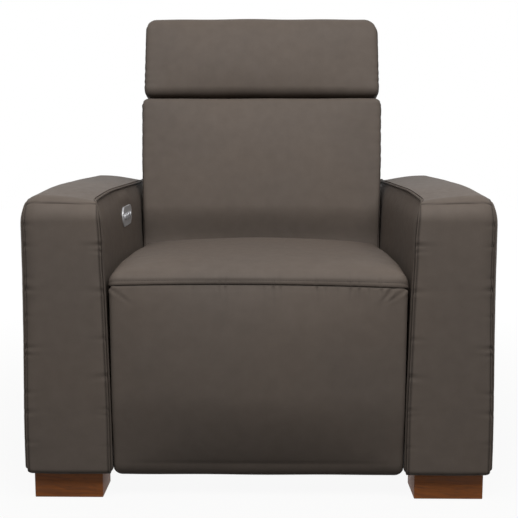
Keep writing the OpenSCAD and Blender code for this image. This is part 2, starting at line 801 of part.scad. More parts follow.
// Block on the rail with an upright yoke, whose slot takes the crank's pin
module drive_nut(pin, lift) {
    z0 = drive_z + drive_rail_h + nut_gap;
    slot_w = 2 * (pin_r + slot_gap);
    slot_low = lift[0] - pin_r - slot_end_gap;
    slot_high = lift[1] + pin_r + slot_end_gap;
    rail_side = drive_rail_w / 2 + nut_gap;
    lip_len = nut_len - 2 * bite;
    color(nylon) {
        plank(drive_x - nut_w / 2, pin[0] - nut_len / 2, z0, nut_w, nut_len, nut_h);
        for (x = [drive_x - rail_side - nut_lip, drive_x + rail_side])
            plank(x, pin[0] - lip_len / 2, drive_z + nut_lip_lift, nut_lip, lip_len, z0 - drive_z);
        difference() {
            plank(yoke_x, pin[0] - slot_w / 2 - yoke_rim, z0 + nut_h - bite, yoke_t,
                  slot_w + 2 * yoke_rim, slot_high + yoke_rim - z0 - nut_h + bite);
            plank(yoke_x - over, pin[0] - slot_w / 2, slot_low,
                  yoke_t + 2 * over, slot_w, slot_high - slot_low);
        }
    }
}

module footrest_drive_nut() {
    in_seat() drive_nut(feet_pin, [shaft_z - feet_crank_r, feet_pin[1]]);
}

module recline_drive_nut() {
    in_seat() mirror([1, 0, 0]) drive_nut(back_pin, [pivot_z - back_crank_r, back_pin[1]]);
}

// A shaft across the carriage with one drive crank, whose pin points outward into the yoke
module drive_crank(centre, pin) {
    x0 = yoke_x - crank_gap - link_t;
    side_slab(x0, link_t, link(centre, pin, eye_r));
    at(centre) rod(x0 - boss_proud, x0 + link_t + bite, boss_r);
    at(pin) rod(x0 + bite, yoke_x + yoke_t, pin_r);
}

module torque_shaft() {
    color(steel) in_seat() {
        at(shaft_at) rod(bite - plate_x, plate_x - bite, shaft_r);
        both_sides() {
            side_slab(crank_x, link_t, link(shaft_at, crank_end, hub_r));
            at(shaft_at) rod(crank_x - boss_proud, crank_x + link_t + boss_proud, boss_r);
            at(crank_end) rod(crank_x + bite, link_x + link_t, pin_r);
        }
        drive_crank(shaft_at, feet_pin);
    }
}

module shaft_bushes() {
    x0 = plate_x - steel_t;
    bush_r = shaft_r + shaft_bush_t;
    color(nylon) in_seat() both_sides() at(shaft_at) difference() {
        union() {
            rod(x0, plate_x, bush_r);
            rod(x0 - bush_flange_t, x0, bush_r + bush_flange_w);
        }
        rod(x0 - bush_flange_t - over, plate_x + over, shaft_r + run_gap);
    }
}

module push_links() {
    color(zinc) in_seat() both_sides() difference() {
        union() {
            side_slab(link_x, link_t, link(crank_end, bracket_end, hub_r - bite));
            at(bracket_end) rod(link_x + bite, bracket_x + link_t, pin_r);
        }
        at(crank_end) rod(link_x - over, link_x + link_t + over, pin_r + run_gap);
    }
}

// Footrest

pad_lift = 2; // footrest pad above the arms' underside
pad_foot = foot_h + pad_lift;
pad_top = hinge_z + hinge_roll_r;
board_drop = 48; // top of the footrest board under the hinge
board_lift = 16; // and its foot above the pad's
board_top = hinge_z - board_drop;
board_foot = pad_foot + board_lift;
board_inset = 12;
pad_mid = (pad_foot + pad_top) / 2;
pad_low_r = 16;
pad_heel_r = 12;
pad_sag = 24; // height from the pad's fullest place to its middle, and from the bulge's top to the hinge
pad_fade = 30; // depth over which the bulge fades out
pad_round = 16;
pad_draw_in = 2;
pad_step = 55; // longest side of the outline
pocket_gap = 3; // round the brackets
pocket_y = 12;
pad_outline = spaced(rounded([
    [0, pad_foot, pad_low_r], [pad_t, pad_foot, plate_r], [pad_t, pad_top, pad_heel_r],
    [roll_setback, pad_top, hinge_roll_r], [0, hinge_z - pad_sag, 0], [0, pad_mid - pad_sag, 0]
]), pad_step);

module footrest_pad() {
    mid = pad_mid - pad_sag;
    reach = hinge_z - pad_sag - mid;
    color(leather) in_seat() difference() {
        stuffed(pad_outline, pad_round,
            function (p) [-pad_crown * arch((p[1] - mid) / reach) * clamp(1 - p[0] / pad_fade), 0],
            function (p) pad_half - pad_draw_in * arch((p[1] - pad_mid) * 2 / (pad_top - pad_foot)),
            [pad_t / 2, pad_mid]);
        both_sides()
            plank(link_x - pocket_gap, pocket_y, board_top + small_r,
                  hinge_x + link_t - link_x + 2 * pocket_gap, pad_t, pad_top - board_top);
    }
}

module footrest_board() {
    half = pad_half - board_inset;
    color(ply) in_seat() plank(-half, pad_t, board_foot, 2 * half, board_t, board_top - board_foot);
}

module footrest_brackets() {
    flange = 20;
    tail = 70; // foot of a bracket under its link pin
    waist = 14; // depth of a bracket over the board
    rise = 16; // its bend, over the board's top
    shoulder = 22; // upper start of the lug for the link pin
    toe = 9; // depth of the foot
    y0 = pad_t + board_t;
    y1 = y0 + bite;
    low = bracket_end[1] - tail;
    color(steel) in_seat() both_sides() difference() {
        union() {
            side_slab(bracket_x, link_t, rounded([
                [hinge_y - eye_r, hinge_z + eye_r, eye_r - bite], [hinge_y + eye_r, hinge_z + eye_r, eye_r],
                [y1 + waist, board_top + rise, plate_r], [y0 + waist, bracket_end[1] + shoulder, plate_r],
                [bracket_end[0] + hub_r, bracket_end[1] + plate_r, plate_r],
                [bracket_end[0] + small_r, bracket_end[1] - rise, plate_r],
                [y0 + toe, low, small_r], [y1, low, small_r],
                [y1, board_top + toe, small_r], [hinge_y - eye_r, hinge_z - eye_r, eye_r - bite]
            ]));
            plank(bracket_x + bite, y0, low + small_r, flange, steel_t, board_top - low - 2 * steel_t);
        }
        at(hinge_at) rod(bracket_x - over, bracket_x + link_t + over, pin_r + run_gap);
        at(bracket_end) rod(bracket_x - over, bracket_x + link_t + over, pin_r + link_slack);
    }
}

// Back

bracket_foot = 10; // foot of a pivot bracket on its post, under the back's lower end
bracket_top = 150;
post_gap = 4; // top of a post under the cavity's top
post_top = shell_cavity_top - post_gap;
back_rail_h = 45;
low_rail_z = 60;

module back_pivot_brackets() {
    edge = 4; // bracket's edges within the post's
    heel = 8; // lower corner by the pivot, in front of it
    heel_drop = 20;
    neck = 16; // upper corner by the pivot
    neck_rise = 14;
    collar = 5;
    post_y = [shell_y + edge, shell_y + post_t - edge];
    p = [pivot_back * cos(back_lean) + pivot_drop * sin(back_lean),
         pivot_back * sin(back_lean) - pivot_drop * cos(back_lean)];
    color(steel) both_sides() {
        in_back() {
            side_slab(lever_x, link_t, [
                [p[0] - heel, p[1] - heel_drop], [post_y[1], -bracket_foot], [post_y[1], bracket_top],
                [post_y[0], bracket_top], [post_y[0], cushion_foot - edge], [p[0] - neck, p[1] + neck_rise]
            ]);
            at(p) rod(lever_x - bite, lever_x + link_t + bite, ear_r - edge);
        }
        in_seat() at(pivot_at) {
            rod(lever_x, plate_x + bite, pivot_pin_r);
            rod(lever_x, plate_x - steel_t - leaf_gap, pivot_pin_r + collar);
        }
    }
}

module recline_shaft() {
    color(steel) in_seat() {
        at(pivot_at) rod(bite - lever_x, lever_x - bite, shaft_r);
        mirror([1, 0, 0]) drive_crank(pivot_at, back_pin);
    }
}

module back_posts() {
    color(ply) in_back() both_sides() plank(post_x, shell_y, 0, post_w, post_t, post_top);
}

module back_rails() {
    // each rail's height and half length: the lower one ends at the pivot brackets
    color(ply) in_back() for (rail = [[low_rail_z, lever_x], [post_top - back_rail_h, post_x]])
        plank(-rail[1], shell_y, rail[0], 2 * rail[1], post_t, back_rail_h);
}

module back_springs() {
    count = 4;
    lift = 26; // lowest spring over the brackets
    top_gap = 60; // highest spring under the crease
    inset = 12; // springs behind the posts' front
    swing = 20;
    pitch = 34;
    low = bracket_top + lift;
    step = (crease - top_gap - low) / (count - 1);
    color(zinc) in_back() for (i = [0:count - 1])
        translate([-post_x, shell_y + inset + spring_t, low + i * step]) rotate([90, 0, 0])
            zigzag(2 * post_x, swing, pitch);
}

module back_shell() {
    front = rounded([
        [-shell_half, 0, 0], [shell_half, 0, 0],
        [shell_half, shell_top, shell_side_r], [-shell_half, shell_top, shell_side_r]
    ]);
    color(leather) in_back() difference() {
        intersection() {
            side_slab(-shell_half, 2 * shell_half, shell_outline);
            translate([0, shell_rear, 0]) rotate([90, 0, 0]) linear_extrude(shell_t) polygon(front);
        }
        plank(shell_wall - shell_half, shell_y - over, -over, 2 * (shell_half - shell_wall),
              shell_t - shell_tuck - shell_wall + over, shell_cavity_top + over);
    }
}

back_low_r = 25;
back_top_r = 9;
back_hidden_r = 6;
back_clear = 5; // lower end of the crown over the seat's crown
back_crown_z = back_sink + back_clear;
back_mid = (back_crown_z + crease) / 2;
back_over = 12; // how far the crown runs past the crease
back_widen = 8; // wider where the arms lean out,
back_widen_h = 200; // over this height
back_fade = 40;
back_round = 18;
back_draw_in = 2;
back_step = 55; // longest side of the outline
back_outline = spaced(rounded([
    [0, cushion_foot, back_low_r], [back_cushion_t, cushion_foot, plate_r],
    [back_cushion_t, crease, back_hidden_r], [0, crease, back_top_r], [0, back_mid, 0]
]), back_step);

module back_cushion() {
    reach = crease - back_mid + back_over;
    color(leather) in_back() stuffed(back_outline, back_round,
        function (p) [-back_crown * arch((p[1] - back_mid) / reach) * clamp(1 - p[0] / back_fade), 0],
        function (p) back_half - seat_side_gap + back_widen * clamp((p[1] - back_crown_z) / back_widen_h)
            - back_draw_in * arch((p[1] - back_mid) / reach),
        [back_cushion_t / 2, (cushion_foot + crease) / 2]);
}

// Headrest

tilt_at = [tilt_y, tilt_z];
headrest_z = tilt_z - tilt_r;
headrest_low_r = 10;
headrest_rear_r = 26;
headrest_round = 20;
headrest_widen = 5; // half width over the back's, at its foot,
headrest_taper = 3; // and what it loses towards the top
headrest_bulge = 10;
headrest_corner = 38; // upper corners, seen from the front
headrest_board_in = 20; // ends of the headrest's board
headrest_board_drop = 40; // and its top
board_gap = 6;
slot_y = 14; // slots for the hinges, behind the face
slot_side_gap = 4;
slot_rise = 36; // slots' top over the board's lower edge
headrest_outline = spaced(rounded([
    [0, headrest_z, tilt_r], [headrest_t, headrest_z, headrest_low_r],
    [headrest_t, back_len, headrest_rear_r], [0, back_len, headrest_r]
]), back_step);
tilt_leaf_x = tilt_x + link_t + leaf_gap; // inner face of a headrest leaf
board_z = tilt_z + hub_r + board_gap; // lower edge of the headrest's board, above the hinge arms

module headrest_cushion() {
    mid = (headrest_z + back_len) / 2;
    reach = back_len - mid;
    turn = function (v) 1 - sqrt(1 - v * v);
    color(leather) in_back() difference() {
        stuffed(headrest_outline, headrest_round,
            function (p) [-headrest_bulge * arch((p[1] - mid) / reach) * clamp(1 - p[0] / back_fade),
                          headrest_rise * clamp((p[1] - mid) / reach)],
            function (p) back_half + headrest_widen
                - headrest_taper * clamp((p[1] - headrest_z) / (2 * reach))
                - headrest_corner / 2 * turn(clamp((p[1] - back_len) / headrest_corner + 1)),
            [headrest_t / 2, mid]);
        both_sides()
            plank(tilt_x - slot_side_gap, slot_y, headrest_z - over,
                  2 * link_t + leaf_gap + 2 * slot_side_gap, headrest_t, board_z + slot_rise - headrest_z);
    }
}

module headrest_board() {
    half = back_half - headrest_board_in;
    color(ply) in_back()
        plank(-half, headrest_t, board_z, 2 * half, board_t, back_len - headrest_board_drop - board_z);
}

module headrest_hinge_arms() {
    flange = 19;
    root = [shell_y - hub_r - bite, tilt_z];
    color(steel) in_back() both_sides() {
        side_slab(tilt_x, link_t, link(tilt_at, root, hub_r));
        plank(tilt_x + link_t - bite - flange, shell_y - steel_t, tilt_z - hub_r + bite,
              flange, steel_t, 2 * (hub_r - bite));
        at(tilt_at) rod(tilt_x + bite, tilt_leaf_x + link_t, pin_r);
    }
}

module headrest_hinge_leaves() {
    inset = 8; // root of a leaf in front of the headrest's board
    rise = 16; // and over its lower edge
    root = [headrest_t - inset, board_z + rise];
    color(zinc) in_back() both_sides() difference() {
        side_slab(tilt_leaf_x, link_t, link(tilt_at, root, hub_r));
        plank(tilt_leaf_x - over, headrest_t, tilt_z, 2 * link_t, 2 * hub_r, headrest_len);
        at(tilt_at) rod(tilt_leaf_x - over, tilt_leaf_x + link_t + over, pin_r + run_gap);
    }
}

// Placing

module left() {
    mirror([1, 0, 0]) children();
}

left() foot(foot_places[0]);  // foot_front_left
foot(foot_places[0]);  // foot_front_right
left() foot(foot_places[1]);  // foot_rear_left
foot(foot_places[1]);  // foot_rear_right
foot_bolts();
left() arm_cover(true);  // arm_cover_left
arm_cover(false);  // arm_cover_right
left() arm_inner_panel(true);  // arm_inner_panel_left
arm_inner_panel(false);  // arm_inner_panel_right
left() arm_frame();  // arm_frame_left
arm_frame();  // arm_frame_right
stretcher_beam(front_stretcher_y);  // front_stretcher
stretcher_beam(rear_stretcher_y);  // rear_stretcher
stretcher_bolts();
left() glide_track();  // glide_track_left
glide_track();  // glide_track_right
rear_valance();
control_plate();
control_housing();
power_unit();
power_inlet();
button(0);  // button_back_down
button(1);  // button_back_up
button(2);  // button_feet_up
button(3);  // button_feet_down
left() side_plate();  // side_plate_left
side_plate();  // side_plate_right
glide_blocks();
carriage_tubes();
seat_front_rail();
seat_rear_rail();
seat_side_rails();
seat_springs();
seat_cushion();
footrest_hinge_brackets();
in_seat() drive_motor(feet_rail_y[1], tube_places[1]);  // footrest_motor
in_seat() drive_rail(feet_rail_y[0], feet_rail_y[1], [tube_places[0]]);  // footrest_drive_rail
left() in_seat() drive_motor(back_rail_y[0] - gear_box[1], tube_places[2]);  // recline_motor
left() in_seat() drive_rail(back_rail_y[0], back_rail_y[1], []);  // recline_drive_rail
shaft_bushes();
footrest_pad();
footrest_board();
footrest_brackets();
torque_shaft();
push_links();
footrest_drive_nut();
recline_drive_nut();
back_cushion();
back_shell();
back_posts();
back_rails();
back_springs();
back_pivot_brackets();
recline_shaft();
headrest_hinge_arms();
headrest_cushion();
headrest_board();
headrest_hinge_leaves();
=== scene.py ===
"""Looks of the cinema recliner: its upholstery, wood and metal, and the studio round it.

Lengths are in metres, in the chair's own frame: +Z is up and the chair faces -Y.
"""
import sys
import json
import logging
import math
from collections.abc import Callable
from dataclasses import dataclass, field
from enum import Enum

import bmesh
import bpy
import numpy as np
from mathutils import Matrix, Vector


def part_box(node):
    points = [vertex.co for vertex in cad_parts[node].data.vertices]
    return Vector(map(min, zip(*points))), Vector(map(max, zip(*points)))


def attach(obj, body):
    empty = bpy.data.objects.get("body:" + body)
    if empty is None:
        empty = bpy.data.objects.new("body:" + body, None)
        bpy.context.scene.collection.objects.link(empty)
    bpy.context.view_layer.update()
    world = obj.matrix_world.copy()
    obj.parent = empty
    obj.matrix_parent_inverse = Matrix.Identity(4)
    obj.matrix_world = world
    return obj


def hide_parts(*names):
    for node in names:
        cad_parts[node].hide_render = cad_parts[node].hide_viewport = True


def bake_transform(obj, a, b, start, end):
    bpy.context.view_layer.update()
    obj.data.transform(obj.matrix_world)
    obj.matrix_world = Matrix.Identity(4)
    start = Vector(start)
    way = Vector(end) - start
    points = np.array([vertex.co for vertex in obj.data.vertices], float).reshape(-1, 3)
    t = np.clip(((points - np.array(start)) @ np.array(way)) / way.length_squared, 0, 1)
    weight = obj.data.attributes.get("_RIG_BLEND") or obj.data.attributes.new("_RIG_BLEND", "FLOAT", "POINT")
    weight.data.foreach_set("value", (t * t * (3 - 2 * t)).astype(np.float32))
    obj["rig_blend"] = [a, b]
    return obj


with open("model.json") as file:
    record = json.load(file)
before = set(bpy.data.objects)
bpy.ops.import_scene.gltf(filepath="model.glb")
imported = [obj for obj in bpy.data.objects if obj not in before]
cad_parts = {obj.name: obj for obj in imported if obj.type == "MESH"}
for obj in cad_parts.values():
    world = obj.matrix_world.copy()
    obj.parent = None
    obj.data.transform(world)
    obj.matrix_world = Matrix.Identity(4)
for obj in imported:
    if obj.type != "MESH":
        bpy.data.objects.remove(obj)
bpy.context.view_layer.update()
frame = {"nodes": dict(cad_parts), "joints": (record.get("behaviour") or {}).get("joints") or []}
log = logging.getLogger("recliner")

MM = 0.001
QUARTER = math.pi / 2
WELD = 0.01 * MM
WHITE = (1.0, 1.0, 1.0, 1.0)


class Slot(Enum):
    """The finishes that the chair's pieces take."""

    LEATHER = "leather"
    WALNUT = "walnut"
    PLYWOOD = "plywood"
    BLACK_STEEL = "black_steel"
    ZINC_STEEL = "zinc_steel"
    BLACK_NYLON = "black_nylon"
    SILVER_TRIM = "silver_trim"


def smooth(share: np.ndarray) -> np.ndarray:
    """Eases shares from 0 to 1."""
    t = np.clip(share, 0.0, 1.0)
    return t * t * (3.0 - 2.0 * t)


def arch(share: np.ndarray) -> np.ndarray:
    """A crown that is 1 at share 0 and fades to 0 at -1 and 1."""
    return np.clip(1.0 - share * share, 0.0, 1.0)


def quarter_round(share: np.ndarray) -> np.ndarray:
    """How far a quarter circle falls, from 0 at share 0 to nearly 1 at share 1."""
    return 1 - np.sqrt(1 - 0.98 * np.clip(share, 0, 1) ** 2)


def ridge(distance: np.ndarray, width: float) -> np.ndarray:
    """A rounded ridge of height 1 at distance 0."""
    return np.exp(-((distance / width) ** 2))


def ripple(distance: np.ndarray, width: float) -> np.ndarray:
    """A groove of depth 1 at distance 0 between two lower folds."""
    t = (distance / width) ** 2
    return (1.0 - t) * np.exp(-t / 2.0)


def drift(a: np.ndarray, b: np.ndarray, length: float, phase: float) -> np.ndarray:
    """A slow waviness over two coordinates, between -1 and 1.

    Args:
        a: First coordinate.
        b: Second coordinate.
        length: Distance between its hollows.
        phase: Number that makes one waviness unlike another.

    Returns:
        The waviness at each pair of coordinates.
    """
    u, v = math.tau * a / length, math.tau * b / length
    waves = (
        np.sin(u + 1.7 * phase) * np.cos(0.8 * v + phase)
        + np.sin(0.6 * v - 1.3 * u + 2.9 * phase)
        + np.sin(1.7 * v + 0.4 * u + 0.7 * phase)
    )
    return waves / 3.0


def unit(vector: np.ndarray) -> np.ndarray:
    """The vector at length 1."""
    return vector / np.linalg.norm(vector)


@dataclass(frozen=True)
class Box:
    """Where a CAD node lies at rest."""

    lo: Vector
    hi: Vector

    @classmethod
    def of(cls, node: str) -> "Box":
        """The box of the named node."""
        return cls(*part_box(node))

    @property
    def mid(self) -> Vector:
        """The box's middle."""
        return (self.lo + self.hi) / 2


def box_field(node: str) -> Box:
    """A dataclass field that holds the named node's box."""
    return field(default_factory=lambda: Box.of(node))


# Finishes


class Nodes:
    """Adds and joins the nodes of one tree."""

    def __init__(self, tree: bpy.types.NodeTree) -> None:
        """Takes the tree."""
        self.tree = tree

    def feed(self, socket: bpy.types.NodeSocket, value: object) -> None:
        """Links a socket to another one, or sets its value."""
        if isinstance(value, bpy.types.NodeSocket):
            self.tree.links.new(value, socket)
        else:
            socket.default_value = value

    def add(self, kind: str, inputs: dict | None = None, **settings: object) -> bpy.types.Node:
        """Adds a node.

        Args:
            kind: Blender's name for the node type.
            inputs: Values or output sockets for its inputs, by input name or number.
            settings: Values for the node's own properties.

        Returns:
            The new node.
        """
        node = self.tree.nodes.new(kind)
        for name, value in settings.items():
            setattr(node, name, value)
        for key, value in (inputs or {}).items():
            self.feed(node.inputs[key], value)
        return node

    def carried(self, value: bpy.types.NodeSocket, start: float, end: float,
                low: float, high: float) -> bpy.types.NodeSocket:
        """The value carried from the range start to end onto the range low to high."""
        inputs = {"Value": value, "From Min": start, "From Max": end, "To Min": low, "To Max": high}
        return self.add("ShaderNodeMapRange", inputs).outputs[0]


class Shader(Nodes):
    """Adds and joins the nodes of one material."""

    def __init__(self, name: str) -> None:
        """Starts a material of that name, with its Principled shader and Object coordinates."""
        self.material = bpy.data.materials.new(name)
        self.material.use_nodes = True
        super().__init__(self.material.node_tree)
        self.surface = self.tree.nodes["Principled BSDF"]
        self.place = self.add("ShaderNodeTexCoord").outputs["Object"]

    def noise(self, scale: float, detail: float = 2.0, stretch: tuple | None = None) -> bpy.types.NodeSocket:
        """A noise value.

        Args:
            scale: Features per metre.
            detail: Octaves.
            stretch: Scale of the pattern along each axis, where it isn't even.

        Returns:
            The noise's value socket.
        """
        place = self.place
        if stretch:
            place = self.add("ShaderNodeMapping", {"Vector": place, "Scale": stretch}).outputs[0]
        inputs = {"Vector": place, "Scale": scale, "Detail": detail}
        return self.add("ShaderNodeTexNoise", inputs).outputs[0]

    def between(self, value: bpy.types.NodeSocket, low: float, high: float,
                start: float = 0.3, end: float = 0.7) -> bpy.types.NodeSocket:
        """A noise value carried onto the range low to high."""
        return self.carried(value, start, end, low, high)

    def mix(self, share: object, first: object, second: object) -> bpy.types.NodeSocket:
        """The colour between two colours, each a tuple or a socket."""
        return self.add("ShaderNodeMix", {0: share, 6: first, 7: second}, data_type="RGBA").outputs[2]

    def relief(self, height: bpy.types.NodeSocket, depth: float, strength: float,
               under: bpy.types.NodeSocket | None = None) -> bpy.types.NodeSocket:
        """A bump of the given depth, over another one if given."""
        inputs = {"Height": height, "Distance": depth, "Strength": strength}
        if under is not None:
            inputs["Normal"] = under
        return self.add("ShaderNodeBump", inputs).outputs[0]

    def finish(self, **inputs: object) -> bpy.types.Material:
        """Sets or links the surface's inputs.

        Args:
            inputs: Values or output sockets, by input name with underscores for spaces.

        Returns:
            The finished material.
        """
        for name, value in inputs.items():
            self.feed(self.surface.inputs[name.replace("_", " ")], value)
        return self.material


def rgb(red: int, green: int, blue: int) -> tuple[float, float, float, float]:
    """A display colour, 0 to 255 a channel, as a linear one."""
    linear = [((c / 255 + 0.055) / 1.055) ** 2.4 if c > 10 else c / 3294.6 for c in (red, green, blue)]
    return (*linear, 1.0)


@dataclass(frozen=True)
class Leather:
    """Smooth corrected leather with a fine pebbled grain and a soft sheen."""

    name: str = "taupe_leather"
    colour: tuple = rgb(98, 89, 82)
    warm: tuple = rgb(101, 91, 83)
    cool: tuple = rgb(96, 88, 82)
    # The groove colour is the dark end of the painted shade in seams, stitch lines and folds, and of the
    # random mottling.
    groove: tuple = rgb(30, 26, 23)
    pebbles: float = 850.0
    grain_depth: float = 0.12 * MM
    crease_depth: float = 0.5 * MM

    def material(self) -> bpy.types.Material:
        """Builds the finish; a mesh's seam attribute paints shade into its grooves, in the groove colour."""
        shader = Shader(self.name)
        tone = shader.mix(shader.between(shader.noise(5.0, 3.0), 0.0, 1.0), self.cool, self.warm)
        body = shader.mix(0.55, self.colour, tone)
        worn = shader.mix(shader.between(shader.noise(38.0, 4.0), 0.0, 0.10), body, self.groove)
        # The seam attribute is painted shade: it darkens the seams, stitch lines and fold grooves towards the
        # groove colour.
        seam = shader.add("ShaderNodeAttribute", attribute_name="seam").outputs["Fac"]
        colour = shader.mix(seam, worn, self.groove)
        pebbles = shader.add("ShaderNodeTexVoronoi", {"Vector": shader.place, "Scale": self.pebbles},
                             feature="SMOOTH_F1").outputs["Distance"]
        grain = shader.relief(pebbles, self.grain_depth, 0.35)
        creases = shader.relief(shader.noise(120.0, 3.0, (1.0, 1.0, 0.55)), self.crease_depth, 0.22, grain)
        rough = shader.between(shader.noise(60.0, 3.0), 0.52, 0.60)
        return shader.finish(Base_Color=colour, Roughness=rough, Normal=creases, Specular_IOR_Level=0.07)


@dataclass(frozen=True)
class Thread:
    """Twisted polyester thread of the topstitching, in the leather's colour."""

    name: str = "taupe_thread"
    colour: tuple = rgb(74, 66, 60)
    dark: tuple = rgb(54, 48, 43)
    strands: float = 2400.0

    def material(self) -> bpy.types.Material:
        """Builds the finish, with fine bands for the strands."""
        shader = Shader(self.name)
        strands = shader.noise(self.strands, 1.0)
        colour = shader.mix(shader.between(strands, 0.0, 1.0), self.colour, self.dark)
        return shader.finish(Base_Color=colour, Roughness=0.7, Specular_IOR_Level=0.25,
                             Normal=shader.relief(strands, 0.1 * MM, 0.4))


@dataclass(frozen=True)
class Wood:
    """Wood with its grain along X: fibres, growth lines and pores."""

    name: str
    light: tuple
    dark: tuple
    pores: tuple
    rough: float
    lines: float = 147.2

    def material(self) -> bpy.types.Material:
        """Builds the finish."""
        shader = Shader(self.name)
        sway = shader.between(shader.noise(9.0, 2.0, (0.5, 1.0, 1.0)), -0.02, 0.02)
        offset = shader.add("ShaderNodeCombineXYZ", {"Z": sway}).outputs[0]
        bent = shader.add("ShaderNodeVectorMath", {0: shader.place, 1: offset}, operation="ADD").outputs[0]
        stretched = shader.add("ShaderNodeMapping", {"Vector": bent, "Scale": (0.045, 0.7, 1.0)}).outputs[0]
        rings = shader.add("ShaderNodeTexNoise", {"Vector": stretched, "Scale": self.lines, "Detail": 5.0,
                                                  "Roughness": 0.62}).outputs[0]
        fibres = shader.noise(300.0, 3.0, (0.03, 0.8, 1.0))
        pits = shader.noise(900.0, 1.0, (0.06, 1.0, 1.0))
        body = shader.mix(shader.between(rings, 0.0, 1.0, 0.36, 0.64), self.dark, self.light)
        fine = shader.mix(shader.between(fibres, 0.0, 0.45), body, self.dark)
        colour = shader.mix(shader.between(pits, 0.0, 0.6, 0.56, 0.72), fine, self.pores)
        rough = shader.between(fibres, self.rough - 0.06, self.rough + 0.08)
        return shader.finish(Base_Color=colour, Roughness=rough, Specular_IOR_Level=0.4,
                             Normal=shader.relief(pits, 0.15 * MM, 0.3))


@dataclass(frozen=True)
class Metal:
    """Bare, plated or painted metal with fine brushing and handling marks."""

    name: str
    colour: tuple
    shade: tuple
    metallic: float
    rough: float
    brushed: tuple = (1.0, 1.0, 1.0)
    brush_scale: float = 500.0
    relief_depth: float = 0.04 * MM

    def material(self) -> bpy.types.Material:
        """Builds the finish."""
        shader = Shader(self.name)
        blotches = shader.noise(26.0, 4.0)
        brush = shader.noise(self.brush_scale, 2.0, self.brushed)
        colour = shader.mix(shader.between(blotches, 0.0, 0.7), self.colour, self.shade)
        rough = shader.between(brush, self.rough - 0.07, self.rough + 0.09)
        return shader.finish(Base_Color=colour, Metallic=self.metallic, Roughness=rough,
                             Normal=shader.relief(brush, self.relief_depth, 0.25))


@dataclass(frozen=True)
class Plastic:
    """Moulded plastic with a fine spark-eroded texture."""

    name: str
    colour: tuple
    shade: tuple
    rough: float = 0.55

    def material(self) -> bpy.types.Material:
        """Builds the finish."""
        shader = Shader(self.name)
        texture = shader.noise(1400.0, 2.0)
        colour = shader.mix(shader.between(shader.noise(40.0, 3.0), 0.0, 0.6), self.colour, self.shade)
        rough = shader.between(texture, self.rough - 0.05, self.rough + 0.1)
        return shader.finish(Base_Color=colour, Roughness=rough, Specular_IOR_Level=0.4,
                             Normal=shader.relief(texture, 0.05 * MM, 0.35))


class Palette:
    """Every finish of the chair, made once."""

    def __init__(self) -> None:
        """Builds the materials."""
        finishes = {
            Slot.LEATHER: Leather(),
            Slot.WALNUT: Wood("walnut_satin", rgb(152, 86, 30), rgb(112, 60, 17), rgb(68, 35, 9), 0.55),
            Slot.PLYWOOD: Wood("birch_plywood", rgb(214, 184, 138), rgb(178, 142, 96), rgb(140, 104, 66),
                               0.62, 76.8),
            Slot.BLACK_STEEL: Metal("black_painted_steel", rgb(38, 38, 40), rgb(28, 28, 30), 0.0, 0.42),
            Slot.ZINC_STEEL: Metal("zinc_plated_steel", rgb(196, 198, 200), rgb(168, 172, 178), 1.0, 0.32),
            Slot.BLACK_NYLON: Plastic("black_nylon", rgb(30, 30, 32), rgb(22, 22, 24)),
            Slot.SILVER_TRIM: Metal("satin_silver", rgb(198, 198, 200), rgb(180, 181, 184), 0.45, 0.38,
                                    (1.0, 0.04, 1.0), 900.0),
        }
        self.materials = {slot: finish.material() for slot, finish in finishes.items()}
        self.thread = Thread().material()
        self.ink = Plastic("grey_print", rgb(46, 47, 50), rgb(38, 39, 42), 0.6).material()

    def dress(self, thing: bpy.types.Object, slot: Slot) -> None:
        """Gives a piece or CAD node the slot's finish."""
        thing.data.materials.clear()
        thing.data.materials.append(self.materials[slot])


# Meshes


def finish_mesh(work: bmesh.types.BMesh, name: str, sharp: float = math.radians(60)) -> bpy.types.Object:
    """Turns a bmesh into an object at the origin.

    Args:
        work: The bmesh, which is freed.
        name: Name of the object and its mesh.
        sharp: Edges that turn more than this stay crisp.

    Returns:
        The new object, linked to the scene.
    """
    mesh = bpy.data.meshes.new(name)
    work.to_mesh(mesh)
    work.free()
    mesh.shade_smooth()
    mesh.set_sharp_from_angle(angle=sharp)
    thing = bpy.data.objects.new(name, mesh)
    bpy.context.scene.collection.objects.link(thing)
    return thing


def place_piece(thing: bpy.types.Object, body: str, replaced: tuple = ()) -> None:
    """Lets a piece ride on its body and stand for its CAD nodes, and reports it.

    Args:
        thing: The piece.
        body: Body that it rides on.
        replaced: CAD nodes that it stands for.
    """
    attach(thing, body)
    if replaced:
        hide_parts(*replaced)
    log.info("%s: %d faces, rides on %s", thing.name, len(thing.data.polygons), body)


@dataclass(frozen=True)
class Corner:
    """A corner of a side outline, its rounding, and the spacing of points along the side after it."""

    y: float
    z: float
    radius: float
    step: float


